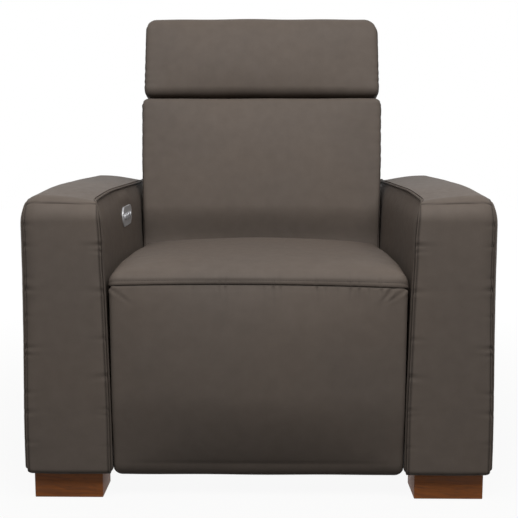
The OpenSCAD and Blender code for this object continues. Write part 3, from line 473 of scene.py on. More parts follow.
class Outline:
    """A closed side outline, traced as points with outward normals."""

    def __init__(self, corners: list[Corner], arc_step: float) -> None:
        """Traces the outline.

        Args:
            corners: Its corners in order.
            arc_step: Spacing of points round a corner.
        """
        places = [np.array((c.y, c.z)) for c in corners]
        count = len(corners)
        area = sum(float(np.cross(places[i - 1], places[i])) for i in range(count))
        spin = math.copysign(1.0, area)
        rounds = []
        for i, corner in enumerate(corners):
            before, here, after = places[i - 1], places[i], places[(i + 1) % count]
            back, ahead = unit(before - here), unit(after - here)
            half = math.acos(float(back @ ahead)) / 2
            middle = here + unit(back + ahead) * corner.radius / math.sin(half)
            start = here + back * corner.radius / math.tan(half)
            end = here + ahead * corner.radius / math.tan(half)
            facing = math.copysign(1.0, spin * float(np.cross(here - before, after - here)))
            rounds.append((middle, start, end, math.pi - 2 * half, facing))
        points, normals = [], []
        for i, (corner, (middle, start, end, turn, facing)) in enumerate(zip(corners, rounds)):
            steps = max(2, math.ceil(corner.radius * turn / arc_step))
            for k in range(steps + 1):
                first, last = math.sin(turn * (steps - k) / steps), math.sin(turn * k / steps)
                arm = ((start - middle) * first + (end - middle) * last) / math.sin(turn)
                points.append(middle + arm)
                normals.append(facing * unit(arm))
            side = rounds[(i + 1) % count][1] - end
            steps = max(1, math.ceil(float(np.linalg.norm(side)) / corner.step))
            across = spin * unit(np.array((side[1], -side[0])))
            for k in range(1, steps):
                points.append(end + side * k / steps)
                normals.append(across)
        self.points = np.array(points)
        self.normals = np.array(normals)
        gaps = np.linalg.norm(np.diff(self.points, axis=0, append=self.points[:1]), axis=1)
        self.along = np.concatenate([[0.0], np.cumsum(gaps)[:-1]])
        self.low = self.points.min(axis=0)
        self.high = self.points.max(axis=0)


@dataclass(frozen=True)
class Rows:
    """Places of the rows of points across a padded form, as distances beside each of its two seams."""

    beside: tuple = (2 * MM, 4.2 * MM, 6 * MM, 7.2 * MM, 8.4 * MM, 11 * MM, 15 * MM, 21 * MM, 28 * MM)
    panel: tuple = (2 * MM, 4.2 * MM, 7 * MM, 11 * MM, 16 * MM, 23 * MM, 32 * MM, 44 * MM, 60 * MM)
    deeper: int = 8
    middle: int = 26

    @property
    def to_stitch(self) -> int:
        """Number of rows from a seam to its topstitching."""
        return self.beside.index(7.2 * MM) + 1


LEANING_ROWS = Rows(panel=(2 * MM, 4.2 * MM, 8 * MM, 14 * MM), deeper=4, middle=84)


class Padding:
    """A padded form: a side outline carried across between two side panels, with rolled edges.

    A place on it is the outline's point and the distance across from the start of the first roll.
    """

    level = 0.9
    margin = 0.97

    def __init__(self, outline: Outline, low_roll: np.ndarray, high_roll: np.ndarray,
                 first_depth: float, last_depth: float, seam_share: tuple = (0.3, 0.7)) -> None:
        """Takes the form's sizes.

        Args:
            outline: The side outline.
            low_roll: Radius of the rolled edge on the -X side, at each point.
            high_roll: Radius of the rolled edge on the +X side, at each point.
            first_depth: Depth to which the side panels' rows run level with the outline.
            last_depth: Depth to which they shrink towards the panels' middle.
            seam_share: Places of the seams on the rolled edges, as shares of each roll.
        """
        self.outline = outline
        self.low_roll = np.broadcast_to(np.asarray(low_roll, float), outline.along.shape)
        self.high_roll = np.broadcast_to(np.asarray(high_roll, float), outline.along.shape)
        self.first_depth, self.last_depth = first_depth, last_depth
        y, z = outline.points.T
        self.edge_low, self.edge_high = self.low_face(y, z), self.high_face(y, z)
        self.span = self.edge_high - self.edge_low - self.low_roll - self.high_roll
        self.band_start = QUARTER * self.low_roll
        self.band_end = self.band_start + self.span
        self.total = self.band_end + QUARTER * self.high_roll
        self.seam_low = seam_share[0] * self.band_start
        self.seam_high = self.band_end + seam_share[1] * QUARTER * self.high_roll

    def low_face(self, y: np.ndarray, z: np.ndarray) -> np.ndarray:
        """X of the -X side panel."""
        raise NotImplementedError

    def high_face(self, y: np.ndarray, z: np.ndarray) -> np.ndarray:
        """X of the +X side panel."""
        raise NotImplementedError

    def inward(self, depth: np.ndarray) -> np.ndarray:
        """Points of the side panels at depths inside the outline.

        Args:
            depth: Depth for each row and outline point.

        Returns:
            Their y and z, in the last axis.
        """
        def shrunk(points: np.ndarray, by: float) -> np.ndarray:
            """The nearest points of the outline's box, shrunk by a depth."""
            half = np.minimum((self.outline.high - self.outline.low) / 2, by)
            return np.clip(points, self.outline.low + half, self.outline.high - half)

        points = self.outline.points
        step = shrunk(points, self.first_depth) - points
        near = points + step * np.minimum(depth / self.first_depth, self.level)[..., None]
        base = points + step * self.level
        start = self.level * self.first_depth
        share = np.clip((depth - start) / max(self.last_depth - start, MM), 0.0, 1.0)[..., None]
        return near + (shrunk(base, self.last_depth) - base) * share

    def place(self, across: np.ndarray) -> np.ndarray:
        """Points of the plain form.

        Args:
            across: Distance across, for each row and outline point.

        Returns:
            The points, with x, y and z in the last axis.
        """
        turn_low = np.clip(across / self.low_roll, 0, QUARTER)
        turn_high = np.clip((across - self.band_end) / self.high_roll, 0, QUARTER)
        beyond = np.maximum(-across, 0) + np.maximum(across - self.total, 0)
        depth = self.low_roll * (1 - np.sin(turn_low)) + self.high_roll * (1 - np.cos(turn_high)) + beyond
        inner = self.inward(depth)
        y, z = inner[..., 0], inner[..., 1]
        x = (self.edge_low + self.low_roll * (1 - np.cos(turn_low))
             + np.clip(across - self.band_start, 0, self.span) + self.high_roll * np.sin(turn_high))
        x = x + np.where(across < 0, self.low_face(y, z) - self.edge_low, 0)
        x = x + np.where(across > self.total, self.high_face(y, z) - self.edge_high, 0)
        return np.stack([x, y, z], axis=-1)

    def rows(self, rows: Rows) -> np.ndarray:
        """Distances across of the form's rows, closest together beside the seams."""
        def panel(reach: np.ndarray) -> list[np.ndarray]:
            """Offsets from a seam as far as the panel's middle."""
            near = [np.minimum(offset, reach * self.level) for offset in rows.panel if offset < reach.min()]
            last = near[-1]
            shares = [(k / rows.deeper) ** 1.2 for k in range(1, rows.deeper + 1)]
            return near + [last + (reach - last) * share for share in shares]

        low = panel(self.seam_low + (self.last_depth - self.low_roll) * self.margin)
        high = panel(self.total - self.seam_high + (self.last_depth - self.high_roll) * self.margin)
        start, end = self.seam_low + rows.beside[-1], self.seam_high - rows.beside[-1]
        made = [self.seam_low - offset for offset in reversed(low)] + [self.seam_low]
        made += [self.seam_low + offset for offset in rows.beside]
        made += [start + (end - start) * k / rows.middle for k in range(1, rows.middle)]
        made += [self.seam_high - offset for offset in reversed(rows.beside)] + [self.seam_high]
        made += [self.seam_high + offset for offset in high]
        self.low_seam_row = len(low)
        self.high_seam_row = len(made) - 1 - len(high)
        return np.array(made)

    def from_seams(self, across: np.ndarray) -> tuple[np.ndarray, np.ndarray]:
        """Distances from the seams on -X and +X, positive between them."""
        return across - self.seam_low, self.seam_high - across


class EvenForm(Padding):
    """A padded form between two sides that are given as half widths."""

    def __init__(self, outline: Outline, half: Callable, roll: float, first_depth: float,
                 last_depth: float, high_half: Callable | None = None) -> None:
        """Takes the half width as a function of y and z, and another for the +X side where it differs."""
        self.half = half
        self.high_half = high_half or half
        super().__init__(outline, roll, roll, first_depth, last_depth)

    def low_face(self, y: np.ndarray, z: np.ndarray) -> np.ndarray:
        """The side panel on -X."""
        return -self.half(y, z)

    def high_face(self, y: np.ndarray, z: np.ndarray) -> np.ndarray:
        """The side panel on +X."""
        return self.high_half(y, z)


def facing(rings: np.ndarray, outline: Outline) -> np.ndarray:
    """Outward normals of a form's points.

    Args:
        rings: The points, by row and outline point.
        outline: The outline, whose normals say which way is out.

    Returns:
        Unit normals.
    """
    along = np.roll(rings, -1, axis=1) - np.roll(rings, 1, axis=1)
    across = np.gradient(rings, axis=0)
    normals = np.cross(along, across)
    normals /= np.maximum(np.linalg.norm(normals, axis=-1, keepdims=True), 1e-12)
    outward = (normals[len(rings) // 2, :, 1:] * outline.normals).sum()
    return normals if outward > 0 else -normals


def closed_mesh(rings: np.ndarray, layer: str, values: np.ndarray, split: bool = False) -> bmesh.types.BMesh:
    """Closes a form's rows of points into a mesh.

    Args:
        rings: The points, by row and outline point.
        layer: Name of the vertex layer that takes the values.
        values: A number for each point.
        split: Whether the end faces are cut into triangles.

    Returns:
        The mesh.
    """
    rows, columns = rings.shape[:2]
    work = bmesh.new()
    bmesh.ops.create_grid(work, x_segments=columns, y_segments=rows - 1, size=1.0)
    numbers = work.verts.layers.float.new(layer)
    places = np.concatenate([rings, rings[:, :1]], axis=1).reshape(-1, 3)
    marks = np.concatenate([values, values[:, :1]], axis=1).ravel()
    for vert, place, mark in zip(work.verts, places.tolist(), marks.tolist()):
        vert.co = place
        vert[numbers] = mark
    bmesh.ops.remove_doubles(work, verts=work.verts, dist=WELD)
    bmesh.ops.holes_fill(work, edges=[edge for edge in work.edges if edge.is_boundary], sides=0)
    if split:
        bmesh.ops.triangulate(work, faces=[face for face in work.faces if len(face.verts) > 4])
    bmesh.ops.recalc_face_normals(work, faces=work.faces)
    return work


@dataclass(frozen=True)
class Stitching:
    """Topstitching: its thread, the length of a stitch and the pitch."""

    radius: float = 0.45 * MM
    length: float = 4.4 * MM
    pitch: float = 5.8 * MM
    lift: float = 0.1 * MM

    def sew(self, work: bmesh.types.BMesh, path: np.ndarray, normals: np.ndarray) -> None:
        """Adds stitches along a path.

        Args:
            work: Mesh that takes the stitches.
            path: Points of the line on the leather.
            normals: The leather's normals there.
        """
        gaps = np.linalg.norm(np.diff(path, axis=0), axis=1)
        run = np.concatenate([[0.0], np.cumsum(gaps)])
        for place in np.arange(self.pitch, run[-1] - self.pitch, self.pitch):
            ends = [np.array([np.interp(place + s * self.length / 2, run, path[:, k]) for k in range(3)])
                    for s in (-1, 1)]
            out = np.array([np.interp(place, run, normals[:, k]) for k in range(3)])
            ahead = Vector(ends[1] - ends[0]).normalized()
            side = ahead.cross(Vector(out)).normalized()
            up = side.cross(ahead)
            turn = Matrix((ahead, side, up)).transposed().to_4x4()
            middle = Matrix.Translation(Vector((ends[0] + ends[1]) / 2) + up * self.lift)
            size = Matrix.Diagonal((self.radius, self.radius, self.length / 2, 1.0))
            lying = middle @ turn @ Matrix.Rotation(QUARTER, 4, "Y")
            bmesh.ops.create_uvsphere(work, u_segments=6, v_segments=4, radius=1.0, matrix=lying @ size)


@dataclass(frozen=True)
class Seam:
    """A sewn seam's groove, the ridges beside it and the line of its topstitching, and the shade painted into
    them.
    """

    depth: float = 2.6 * MM
    half_width: float = 2.0 * MM
    ridge_height: float = 0.9 * MM
    ridge_at: float = 4.2 * MM
    ridge_width: float = 2.2 * MM
    stitch_at: float = 7.2 * MM
    stitch_depth: float = 1.1 * MM
    stitch_width: float = 1.5 * MM
    # Width of the shade painted into the groove, and strength of the shade painted along the stitch line.
    shade_width: float = 1.7 * MM
    stitch_shade: float = 0.75

    def shape(self, distance: np.ndarray, stitched: np.ndarray | bool = False) -> np.ndarray:
        """Height of the leather at distances from the seam, with topstitching where stitched is true."""
        height = -self.depth * ridge(distance, self.half_width)
        height = height + self.ridge_height * ridge(distance - self.ridge_at, self.ridge_width)
        line = np.where(stitched, self.stitch_depth, 0) * ridge(distance - self.stitch_at, self.stitch_width)
        return height - line

    def shadow(self, distance: np.ndarray, stitched: np.ndarray | bool = False) -> np.ndarray:
        """How much shade is painted at distances from the seam, in its groove and along the topstitching
        where stitched is true.
        """
        line = np.where(stitched, self.stitch_shade, 0) * ridge(distance - self.stitch_at, self.stitch_width)
        return np.maximum(ridge(distance, self.shade_width), line)


@dataclass(frozen=True)
class Pucker:
    """A short fold that runs from a seam: its place along the seam, its reach, depth and width."""

    at: float
    reach: float
    depth: float
    width: float
    tilt: float = 0.0
    # Fold depth at which the shade painted into its groove is full.
    full_shade_depth: float = 4.5 * MM

    def lie(self, along: np.ndarray, distance: np.ndarray) -> tuple[np.ndarray, np.ndarray]:
        """Distance beside the fold's line and strength of the fold, for places along and off the seam."""
        line = along - self.at - self.tilt * distance
        return line, np.exp(-np.maximum(distance, 0) / self.reach) * smooth(distance / (3 * MM))

    def shape(self, along: np.ndarray, distance: np.ndarray) -> np.ndarray:
        """Height of the leather at places along the seam and distances from it."""
        line, strength = self.lie(along, distance)
        return -self.depth * ripple(line, self.width) * strength

    def shadow(self, along: np.ndarray, distance: np.ndarray) -> np.ndarray:
        """How much shade is painted into the fold's groove at places along the seam and distances from it."""
        line, strength = self.lie(along, distance)
        return self.depth / self.full_shade_depth * ridge(line, 0.6 * self.width) * strength


def puckers(*rows: tuple) -> list[Pucker]:
    """Folds from rows of place in metres, reach, depth and width in millimetres, and tilt."""
    return [Pucker(at, reach * MM, depth * MM, width * MM, *tilt) for at, reach, depth, width, *tilt in rows]


@dataclass(frozen=True)
class Gathers:
    """Folds along both side seams of a leaning pad: heights and sizes, and how the second side differs."""

    folds: tuple
    width: float
    shift: float
    share: float
    reach: float = 14 * MM
    depth: float = 1.1 * MM

    def height(self, z: np.ndarray, first: np.ndarray, second: np.ndarray) -> np.ndarray:
        """Height of the leather beside both seams.

        Args:
            z: Heights.
            first: Distances from the first seam.
            second: Distances from the second seam, whose folds are shifted and shallower.

        Returns:
            The height at each point.
        """
        total = np.zeros_like(z)
        for place, size in self.folds:
            fold = Pucker(place, self.reach, self.depth * size, self.width)
            total += fold.shape(z, np.abs(first)) + self.share * fold.shape(z - self.shift, np.abs(second))
        return total


@dataclass
class Upholstery:
    """Makes leather pieces and their topstitching."""

    palette: Palette

    def skin(self, rings: np.ndarray, shade: np.ndarray, name: str) -> bpy.types.Object:
        """Makes a leather piece.

        Args:
            rings: Its points, by row and outline point.
            shade: How much shade is painted into the seams and folds at each point, from 0 to 1.
            name: Its name.

        Returns:
            The piece, with the painted shade as an attribute.
        """
        thing = finish_mesh(closed_mesh(rings, "seam", shade, split=True), name)
        self.palette.dress(thing, Slot.LEATHER)
        return thing

    def pad(self, rings: np.ndarray, shade: np.ndarray, name: str, fill: float, body: str, node: str) -> None:
        """Adds a leather piece that rides on its body and stands for its CAD node.

        Args:
            rings: Its points, by row and outline point.
            shade: How much shade is painted into the seams and folds at each point, from 0 to 1.
            name: Its name.
            fill: How much of the padding's room is filled; not used.
            body: Body that it rides on.
            node: CAD node that it stands for.
        """
        thing = self.skin(rings, shade, name)
        place_piece(thing, body, (node,))

    def sew(self, name: str, lines: list[tuple[np.ndarray, np.ndarray]], body: str) -> None:
        """Adds the stitches of several lines as one piece.

        Args:
            name: Name of the piece.
            lines: Each line's points and normals.
            body: Body that it rides on.
        """
        work = bmesh.new()
        for path, normals in lines:
            Stitching().sew(work, path, normals)
        thing = finish_mesh(work, name)
        thing.data.materials.append(self.palette.thread)
        place_piece(thing, body)


@dataclass(frozen=True)
class Simulation:
    """Cloth simulation that swells a cushion's cover over its filling."""

    pressure: float = 4.0
    frames: int = 20
    most: float = 24 * MM
    tension: float = 22.0
    bending: float = 6.0
    mass: float = 0.35
    quality: int = 6
    rows: int = 40
    columns: int = 60
    fullest: float = 98.0
    smoothings: int = 10

    def swell(self, rings: np.ndarray, held: np.ndarray) -> np.ndarray:
        """Inflates a closed form.

        Args:
            rings: Its points, by row and outline point.
            held: How firmly each point is held, from 0 to 1.

        Returns:
            The move of each point.
        """
        work = closed_mesh(rings, "order", np.arange(held.size).reshape(held.shape))
        order = work.verts.layers.float["order"]
        numbers = [round(vert[order]) for vert in work.verts]
        thing = finish_mesh(work, "swelling")
        group = thing.vertex_groups.new(name="held")
        firm = held.ravel()
        for index, number in enumerate(numbers):
            group.add([index], float(firm[number]), "REPLACE")
        settings = thing.modifiers.new("cloth", "CLOTH").settings
        settings.quality = self.quality
        settings.mass = self.mass
        settings.tension_stiffness = settings.compression_stiffness = self.tension
        settings.shear_stiffness = self.tension / 2
        settings.bending_stiffness = self.bending
        settings.use_pressure = True
        settings.uniform_pressure_force = self.pressure
        settings.effector_weights.gravity = 0.0
        settings.vertex_group_mass = "held"
        scene = bpy.context.scene
        for number in range(1, self.frames + 1):
            scene.frame_set(number)
        shown = thing.evaluated_get(bpy.context.evaluated_depsgraph_get())
        moved = rings.reshape(-1, 3).copy()
        moved[numbers] = [vert.co[:] for vert in shown.data.vertices]
        bpy.data.objects.remove(thing)
        scene.frame_set(1)
        shift = moved.reshape(rings.shape) - rings
        length = np.linalg.norm(shift, axis=-1, keepdims=True)
        log.info("swelling: %d points, %.1f mm at most", len(numbers), length.max() / MM)
        return shift * np.minimum(1.0, self.most / np.maximum(length, 1e-9))

    def swollen(self, rings: np.ndarray, free: np.ndarray, reach: float) -> np.ndarray:
        """Lets pressure swell a form's cover.

        Args:
            rings: The form's points.
            free: How free each point is to move, from 0 to 1.
            reach: How far the fullest places move.

        Returns:
            The move of each point.
        """
        rows, columns = rings.shape[:2]
        some_rows = np.unique(np.linspace(0, rows - 1, self.rows).round().astype(int))
        some_columns = np.unique(np.linspace(0, columns, self.columns, endpoint=False).round().astype(int))
        picked = np.ix_(some_rows, some_columns)
        shift = self.swell(rings[picked], 1 - free[picked])
        fullest = float(np.percentile(np.linalg.norm(shift, axis=-1), self.fullest))
        shift = shift * reach / max(fullest, MM)
        by_row = np.array([np.interp(np.arange(rows), some_rows, line) for line in np.eye(len(some_rows))])
        wrapped = np.append(some_columns, columns)
        closed = np.concatenate([shift, shift[:, :1]], axis=1)
        by_column = np.array([np.interp(np.arange(columns), wrapped, line) for line in np.eye(len(wrapped))])
        fine = np.einsum("ri,rck,cj->ijk", by_row, closed, by_column)
        for _ in range(self.smoothings):
            fine = (np.roll(fine, 1, axis=1) + 2 * fine + np.roll(fine, -1, axis=1)) / 4
            fine[1:-1] = (fine[:-2] + 2 * fine[1:-1] + fine[2:]) / 4
        return fine


# The chair's pieces


class ArmForm(Padding):
    """The form of one arm, as on the sitter's left: its inner side panel faces -X."""

    def __init__(self, sizes: "ArmCovers", outline: Outline, low_roll: float, high_roll: np.ndarray) -> None:
        """Takes the sizes that shape the inner side panel."""
        self.sizes = sizes
        super().__init__(outline, low_roll, high_roll, *sizes.panel_depths, sizes.seam_share)

    def low_face(self, y: np.ndarray, z: np.ndarray) -> np.ndarray:
        """The inner side panel, which leans outward, and bulges beside the front panel."""
        sizes = self.sizes
        low, high = sizes.front_bulges
        bulge = low + (high - low) * smooth((z - sizes.bulge_z) / sizes.bulge_over)
        return sizes.inner_face(z) - bulge * ridge(y - sizes.box.lo.y, sizes.bulge_depth)

    def high_face(self, y: np.ndarray, z: np.ndarray) -> np.ndarray:
        """The upright outer side panel."""
        return np.full(np.shape(z), self.sizes.box.hi.x)


@dataclass
class ArmCovers(Upholstery):
    """The two upholstered arms: a front panel, a top panel over the nose, and two side panels each."""

    box: Box = box_field("arm_cover_right")
    plate: Box = box_field("control_plate")
    nose: float = 52 * MM
    nose_drop: float = 11 * MM
    level_from: float = 230 * MM
    level_radius: float = 2.5
    rear: float = 40 * MM
    lift: float = 5 * MM
    rear_fall: float = 5 * MM
    low: float = 12 * MM
    top_x: float = 322.5 * MM
    waist_x: float = 311.5 * MM
    waist_z: float = 456 * MM
    kick_z: float = 202 * MM
    bend: float = 45 * MM
    crown: float = 7 * MM
    inner_drop: float = 14 * MM
    outer_drop: float = 2 * MM
    rear_drop: float = 10 * MM
    drop_depth: float = 60 * MM
    front_swell: float = 2.5 * MM
    side_swell: float = 2.5 * MM
    side_ease: float = 120 * MM
    front_bulges: tuple = (3.3 * MM, 6.5 * MM)
    bulge_z: float = 480 * MM
    bulge_over: float = 80 * MM
    bulge_depth: float = 45 * MM
    inner_roll: float = 7 * MM
    outer_roll: tuple = (13 * MM, 40 * MM)
    top_roll: float = 15 * MM
    panel_depths: tuple = (90 * MM, 280 * MM)
    seam_share: tuple = (0.35, 0.53)
    front_seam_y: float = 16 * MM
    front_seam_bow: float = 3 * MM
    underside_lift: float = 1 * MM
    unevenness: float = 0.45 * MM
    fold_strength: float = 1.9
    fold_strength_beyond: float = 0.3
    dish: float = 40 * MM
    seam: Seam = Seam()

    def inner_face(self, z: np.ndarray) -> np.ndarray:
        """X of the inner side panel at heights z."""
        def above(height: float) -> np.ndarray:
            """Height over a bend, eased in."""
            over = z - height
            eased = (over + self.bend) ** 2 / (4 * self.bend)
            return np.where(over > self.bend, over, np.where(over < -self.bend, 0, eased))

        lower = (self.waist_x - self.box.lo.x) / (self.waist_z - self.kick_z)
        upper = (self.top_x - self.waist_x) / (self.box.hi.z - self.crown - self.waist_z)
        return self.box.lo.x + lower * above(self.kick_z) + (upper - lower) * above(self.waist_z)

    def outline(self) -> Outline:
        """The arm's side outline, with the front first."""
        y0, y1 = self.box.lo.y, self.box.hi.y
        z0, z1 = self.box.lo.z + self.underside_lift, self.box.hi.z + self.lift
        return Outline([
            Corner(y0, z0, self.low, 3.6 * MM), Corner(y0, z1 - self.nose_drop, self.nose, 6 * MM),
            Corner(y0 + self.level_from, z1, self.level_radius, 7 * MM),
            Corner(y1, z1 - self.rear_fall, self.rear, 11 * MM), Corner(y1, z0, self.low, 16 * MM),
        ], 3.6 * MM)

    def front_folds(self) -> tuple[list[Pucker], list[Pucker]]:
        """Folds across the front panel from its inner and its outer seam, by height."""
        inner = puckers((0.536, 15, 1.7, 5), (0.524, 13, 1.2, 5, 0.1), (0.442, 13, 1.1, 6, 0.08),
                        (0.345, 13, 0.8, 5), (0.268, 13, 1.3, 6, -0.1), (0.196, 10, 1.2, 5, 0.12),
                        (0.184, 12, 0.9, 5, 0.2), (0.12, 11, 0.6, 5))
        outer = puckers((0.578, 12, 0.7, 5, -0.1), (0.535, 10, 1.1, 5, -0.06), (0.47, 10, 0.6, 5),
                        (0.446, 13, 1.4, 5.5), (0.392, 11, 0.7, 5), (0.326, 13, 1.5, 5, 0.05),
                        (0.312, 13, 0.9, 5), (0.232, 11, 1.0, 5, 0.1), (0.19, 12, 1.1, 6, 0.12),
                        (0.128, 12, 0.7, 5))
        return inner, outer

    def crowned(self, form: ArmForm, from_inner: np.ndarray, from_outer: np.ndarray) -> np.ndarray:
        """Height of the top's and front's crowns, which fade into the side panels.

        Args:
            form: The arm's form.
            from_inner: Distance from the inner seam at each point.
            from_outer: Distance from the outer seam at each point.

        Returns:
            The heights.
        """
        outline = form.outline
        up = np.clip(outline.normals[:, 1], 0, 1) ** 2
        middle = 2 * from_inner / (form.seam_high - form.seam_low) - 1
        inward = np.clip((1 - middle) / 2, 0, 1) ** 2
        outward = np.clip((1 + middle) / 2, 0, 1) ** 4
        rear = smooth((outline.points[:, 0] - self.box.hi.y + 160 * MM) / (130 * MM))
        drop = (self.inner_drop + self.rear_drop * rear) * inward + self.outer_drop * outward
        drop = drop * (1 - smooth(np.maximum(-from_inner, -from_outer) / self.drop_depth))
        flat_front = np.clip(-outline.normals[:, 0], 0, 1)
        on_band = (from_inner >= 0) & (from_outer >= 0)
        return -up * drop + self.front_swell * flat_front * np.where(on_band, arch(middle), 0)

    def from_front_seam(self, form: ArmForm, from_inner: np.ndarray) -> np.ndarray:
        """Distance from the seam across the nose, between the front panel and the top panel.

        Args:
            form: The arm's form.
            from_inner: Distance from the inner seam at each point.

        Returns:
            The distances.
        """
        outline = form.outline
        hidden = outline.normals[:, 1] <= 0.3
        behind = np.abs(outline.points[:, 0] - self.box.lo.y - self.front_seam_y)
        middle = 2 * from_inner / (form.seam_high - form.seam_low) - 1
        seam_at = outline.along[np.argmin(behind + hidden)]
        return np.abs(outline.along - seam_at + self.front_seam_bow * arch(middle))

    def uneven(self, rings: np.ndarray, from_inner: np.ndarray, from_outer: np.ndarray) -> np.ndarray:
        """Height of the leather's slow waviness, and of the side panels' swell above the seat.

        Args:
            rings: The plain form's points.
            from_inner: Distance from the inner seam at each point.
            from_outer: Distance from the outer seam at each point.

        Returns:
            The heights.
        """
        x, y, z = np.moveaxis(rings, -1, 0)
        level = 0.5 * drift(y + x, z, 0.11, 1.3) + 0.5 * drift(y, z + x, 0.23, 4.1)
        level = level * smooth(np.minimum(np.abs(from_inner), np.abs(from_outer)) / (18 * MM))
        side = 1.0
        for inside in (y - self.box.lo.y, self.box.hi.y - y, z - self.box.lo.z, self.box.hi.z - z):
            side = side * smooth(inside / self.side_ease)
        above_seat = np.where(from_inner < 0, smooth((z - 0.5) / 0.05), 1)
        off_band = (from_inner < 0) | (from_outer < 0)
        return self.unevenness * level + self.side_swell * side * above_seat * off_band

    def relief(self, form: ArmForm, across: np.ndarray, rings: np.ndarray) -> tuple[np.ndarray, np.ndarray]:
        """Height of the leather over the plain form, and the shade painted into its seams, stitch lines and
        folds.

        Args:
            form: The arm's form.
            across: Distance across at each point.
            rings: The plain form's points.

        Returns:
            The heights and the painted shades.
        """
        outline = form.outline
        from_inner, from_outer = form.from_seams(across)
        on_band = (from_inner >= 0) & (from_outer >= 0)
        height = self.crowned(form, from_inner, from_outer)
        stitched = (outline.normals[:, 0] < 0.5) & (outline.normals[:, 1] > -0.5) & on_band
        # The shade is painted shade in the seams' grooves, along the stitch lines and in the folds' grooves.
        shade = np.zeros_like(across)
        for distance in (from_inner, from_outer):
            height = height + self.seam.shape(np.abs(distance), stitched)
            shade = np.maximum(shade, self.seam.shadow(distance, stitched))
        cross_seam = self.from_front_seam(form, from_inner)
        inside = smooth(from_inner / (3 * MM)) * smooth(from_outer / (3 * MM)) * on_band
        height = height + self.seam.shape(cross_seam) * inside * 0.7
        shade = np.maximum(shade, self.seam.shadow(cross_seam) * inside * 0.8)
        rise = rings[..., 2]
        front = smooth((-outline.normals[:, 0] - 0.7) / 0.2)
        for folds, distance in zip(self.front_folds(), (from_inner, from_outer)):
            for fold in folds:
                height = height + self.fold_strength * front * fold.shape(rise, distance) * on_band
                height = height + self.fold_strength_beyond * front * fold.shape(rise, -distance) * ~on_band
                shade = np.maximum(shade, front * fold.shadow(rise, distance) * on_band)
        return height + self.uneven(rings, from_inner, from_outer), shade

    def press_plate(self, rings: np.ndarray, plain: np.ndarray, inside: np.ndarray) -> np.ndarray:
        """Lets the inner side panel lie on the CAD's face under the control plate, in a shallow dish.

        Args:
            rings: The arm's points.
            plain: The plain form's points.
            inside: Each point's distance inside the panel's seam.

        Returns:
            The points, with the plain form's ones under the plate.
        """
        mid, half = self.plate.mid, (self.plate.hi - self.plate.lo) / 2
        reach = np.maximum(np.abs(plain[..., 1] - mid.y) - half.y + half.z, 0)
        away = np.hypot(reach, plain[..., 2] - mid.z) - half.z
        hold = (1 - smooth((away - 4 * MM) / self.dish)) * smooth((inside - 8 * MM) / (16 * MM))
        hold = hold[..., None]
        return rings * (1 - hold) + plain * hold

    def rolls(self, outline: Outline) -> np.ndarray:
        """Radius of the outer edge at each outline point: widest at the nose, narrow behind and below.

        Args:
            outline: The arm's side outline.

        Returns:
            The radii.
        """
        turn = np.arctan2(outline.normals[:, 1], -outline.normals[:, 0])
        on_front = smooth((0.9 - np.abs(turn)) / 0.5)
        height = smooth((outline.points[:, 1] - 100 * MM) / (420 * MM))
        roll = self.outer_roll[0] + (self.outer_roll[1] - self.outer_roll[0]) * height
        behind = smooth((outline.points[:, 0] - self.box.lo.y - 30 * MM) / (620 * MM))
        return roll + (self.top_roll - roll) * np.where(outline.normals[:, 1] > 0.2, behind, 1 - on_front)

    def build_arm(self, name: str, side: int) -> None:
        """Builds one arm and its stitches, from the front's foot to the top's rear.

        Args:
            name: left or right, as the CAD names the arm on -X or +X.
            side: -1 for the arm on -X, 1 for the one on +X.
        """
        outline = self.outline()
        form = ArmForm(self, outline, self.inner_roll, self.rolls(outline))
        rows = Rows()
        across = form.rows(rows)
        plain = form.place(across)
        height, shade = self.relief(form, across, plain)
        rings = plain + facing(plain, outline) * height[..., None]
        if side < 0:
            rings = self.press_plate(rings, plain, form.seam_low - across)
        rings = rings * np.array((side, 1, 1))
        self.pad(rings, shade, f"arm_padding_{name}", 0.9, "base", f"arm_cover_{name}")
        normals = facing(rings, outline)
        last = int(np.argmax(outline.normals[:, 0] > 0.2))
        sewn = (form.low_seam_row + rows.to_stitch, form.high_seam_row - rows.to_stitch)
        self.sew(f"arm_stitches_{name}", [(rings[row, :last], normals[row, :last]) for row in sewn], "base")

    def build(self) -> None:
        """Builds both arms."""
        self.build_arm("left", -1)
        self.build_arm("right", 1)


@dataclass
class Leaning:
    """The back's own frame: y runs behind its face and z along it, from its lower end."""

    lean: float = math.radians(12)
    pivot_y: float = 30 * MM
    pivot_z: float = 505.21 * MM

    def __post_init__(self) -> None:
        """Finds the frame's origin from the headrest's hinge."""
        pivot = next(joint["pos_m"] for joint in frame["joints"] if joint["name"] == "headrest_tilt")
        self.origin = np.array(pivot) - self.turned(np.array((0.0, self.pivot_y, self.pivot_z)))

    def turned(self, points: np.ndarray) -> np.ndarray:
        """Points turned by the lean."""
        x, y, z = np.moveaxis(points, -1, 0)
        across, up = math.cos(self.lean), math.sin(self.lean)
        return np.stack([x, across * y + up * z, across * z - up * y], axis=-1)

    def placed(self, points: np.ndarray) -> np.ndarray:
        """Points of the leaning frame in the chair's frame."""
        return self.turned(points) + self.origin


def seam_sag(x: np.ndarray) -> np.ndarray:
    """How far the seam between the seat and the footrest lies over its level line, across the chair."""
    share = x / (300 * MM)
    return 5.0 * MM * arch(share) - 2.6 * MM - 2 * MM * (1 + share)


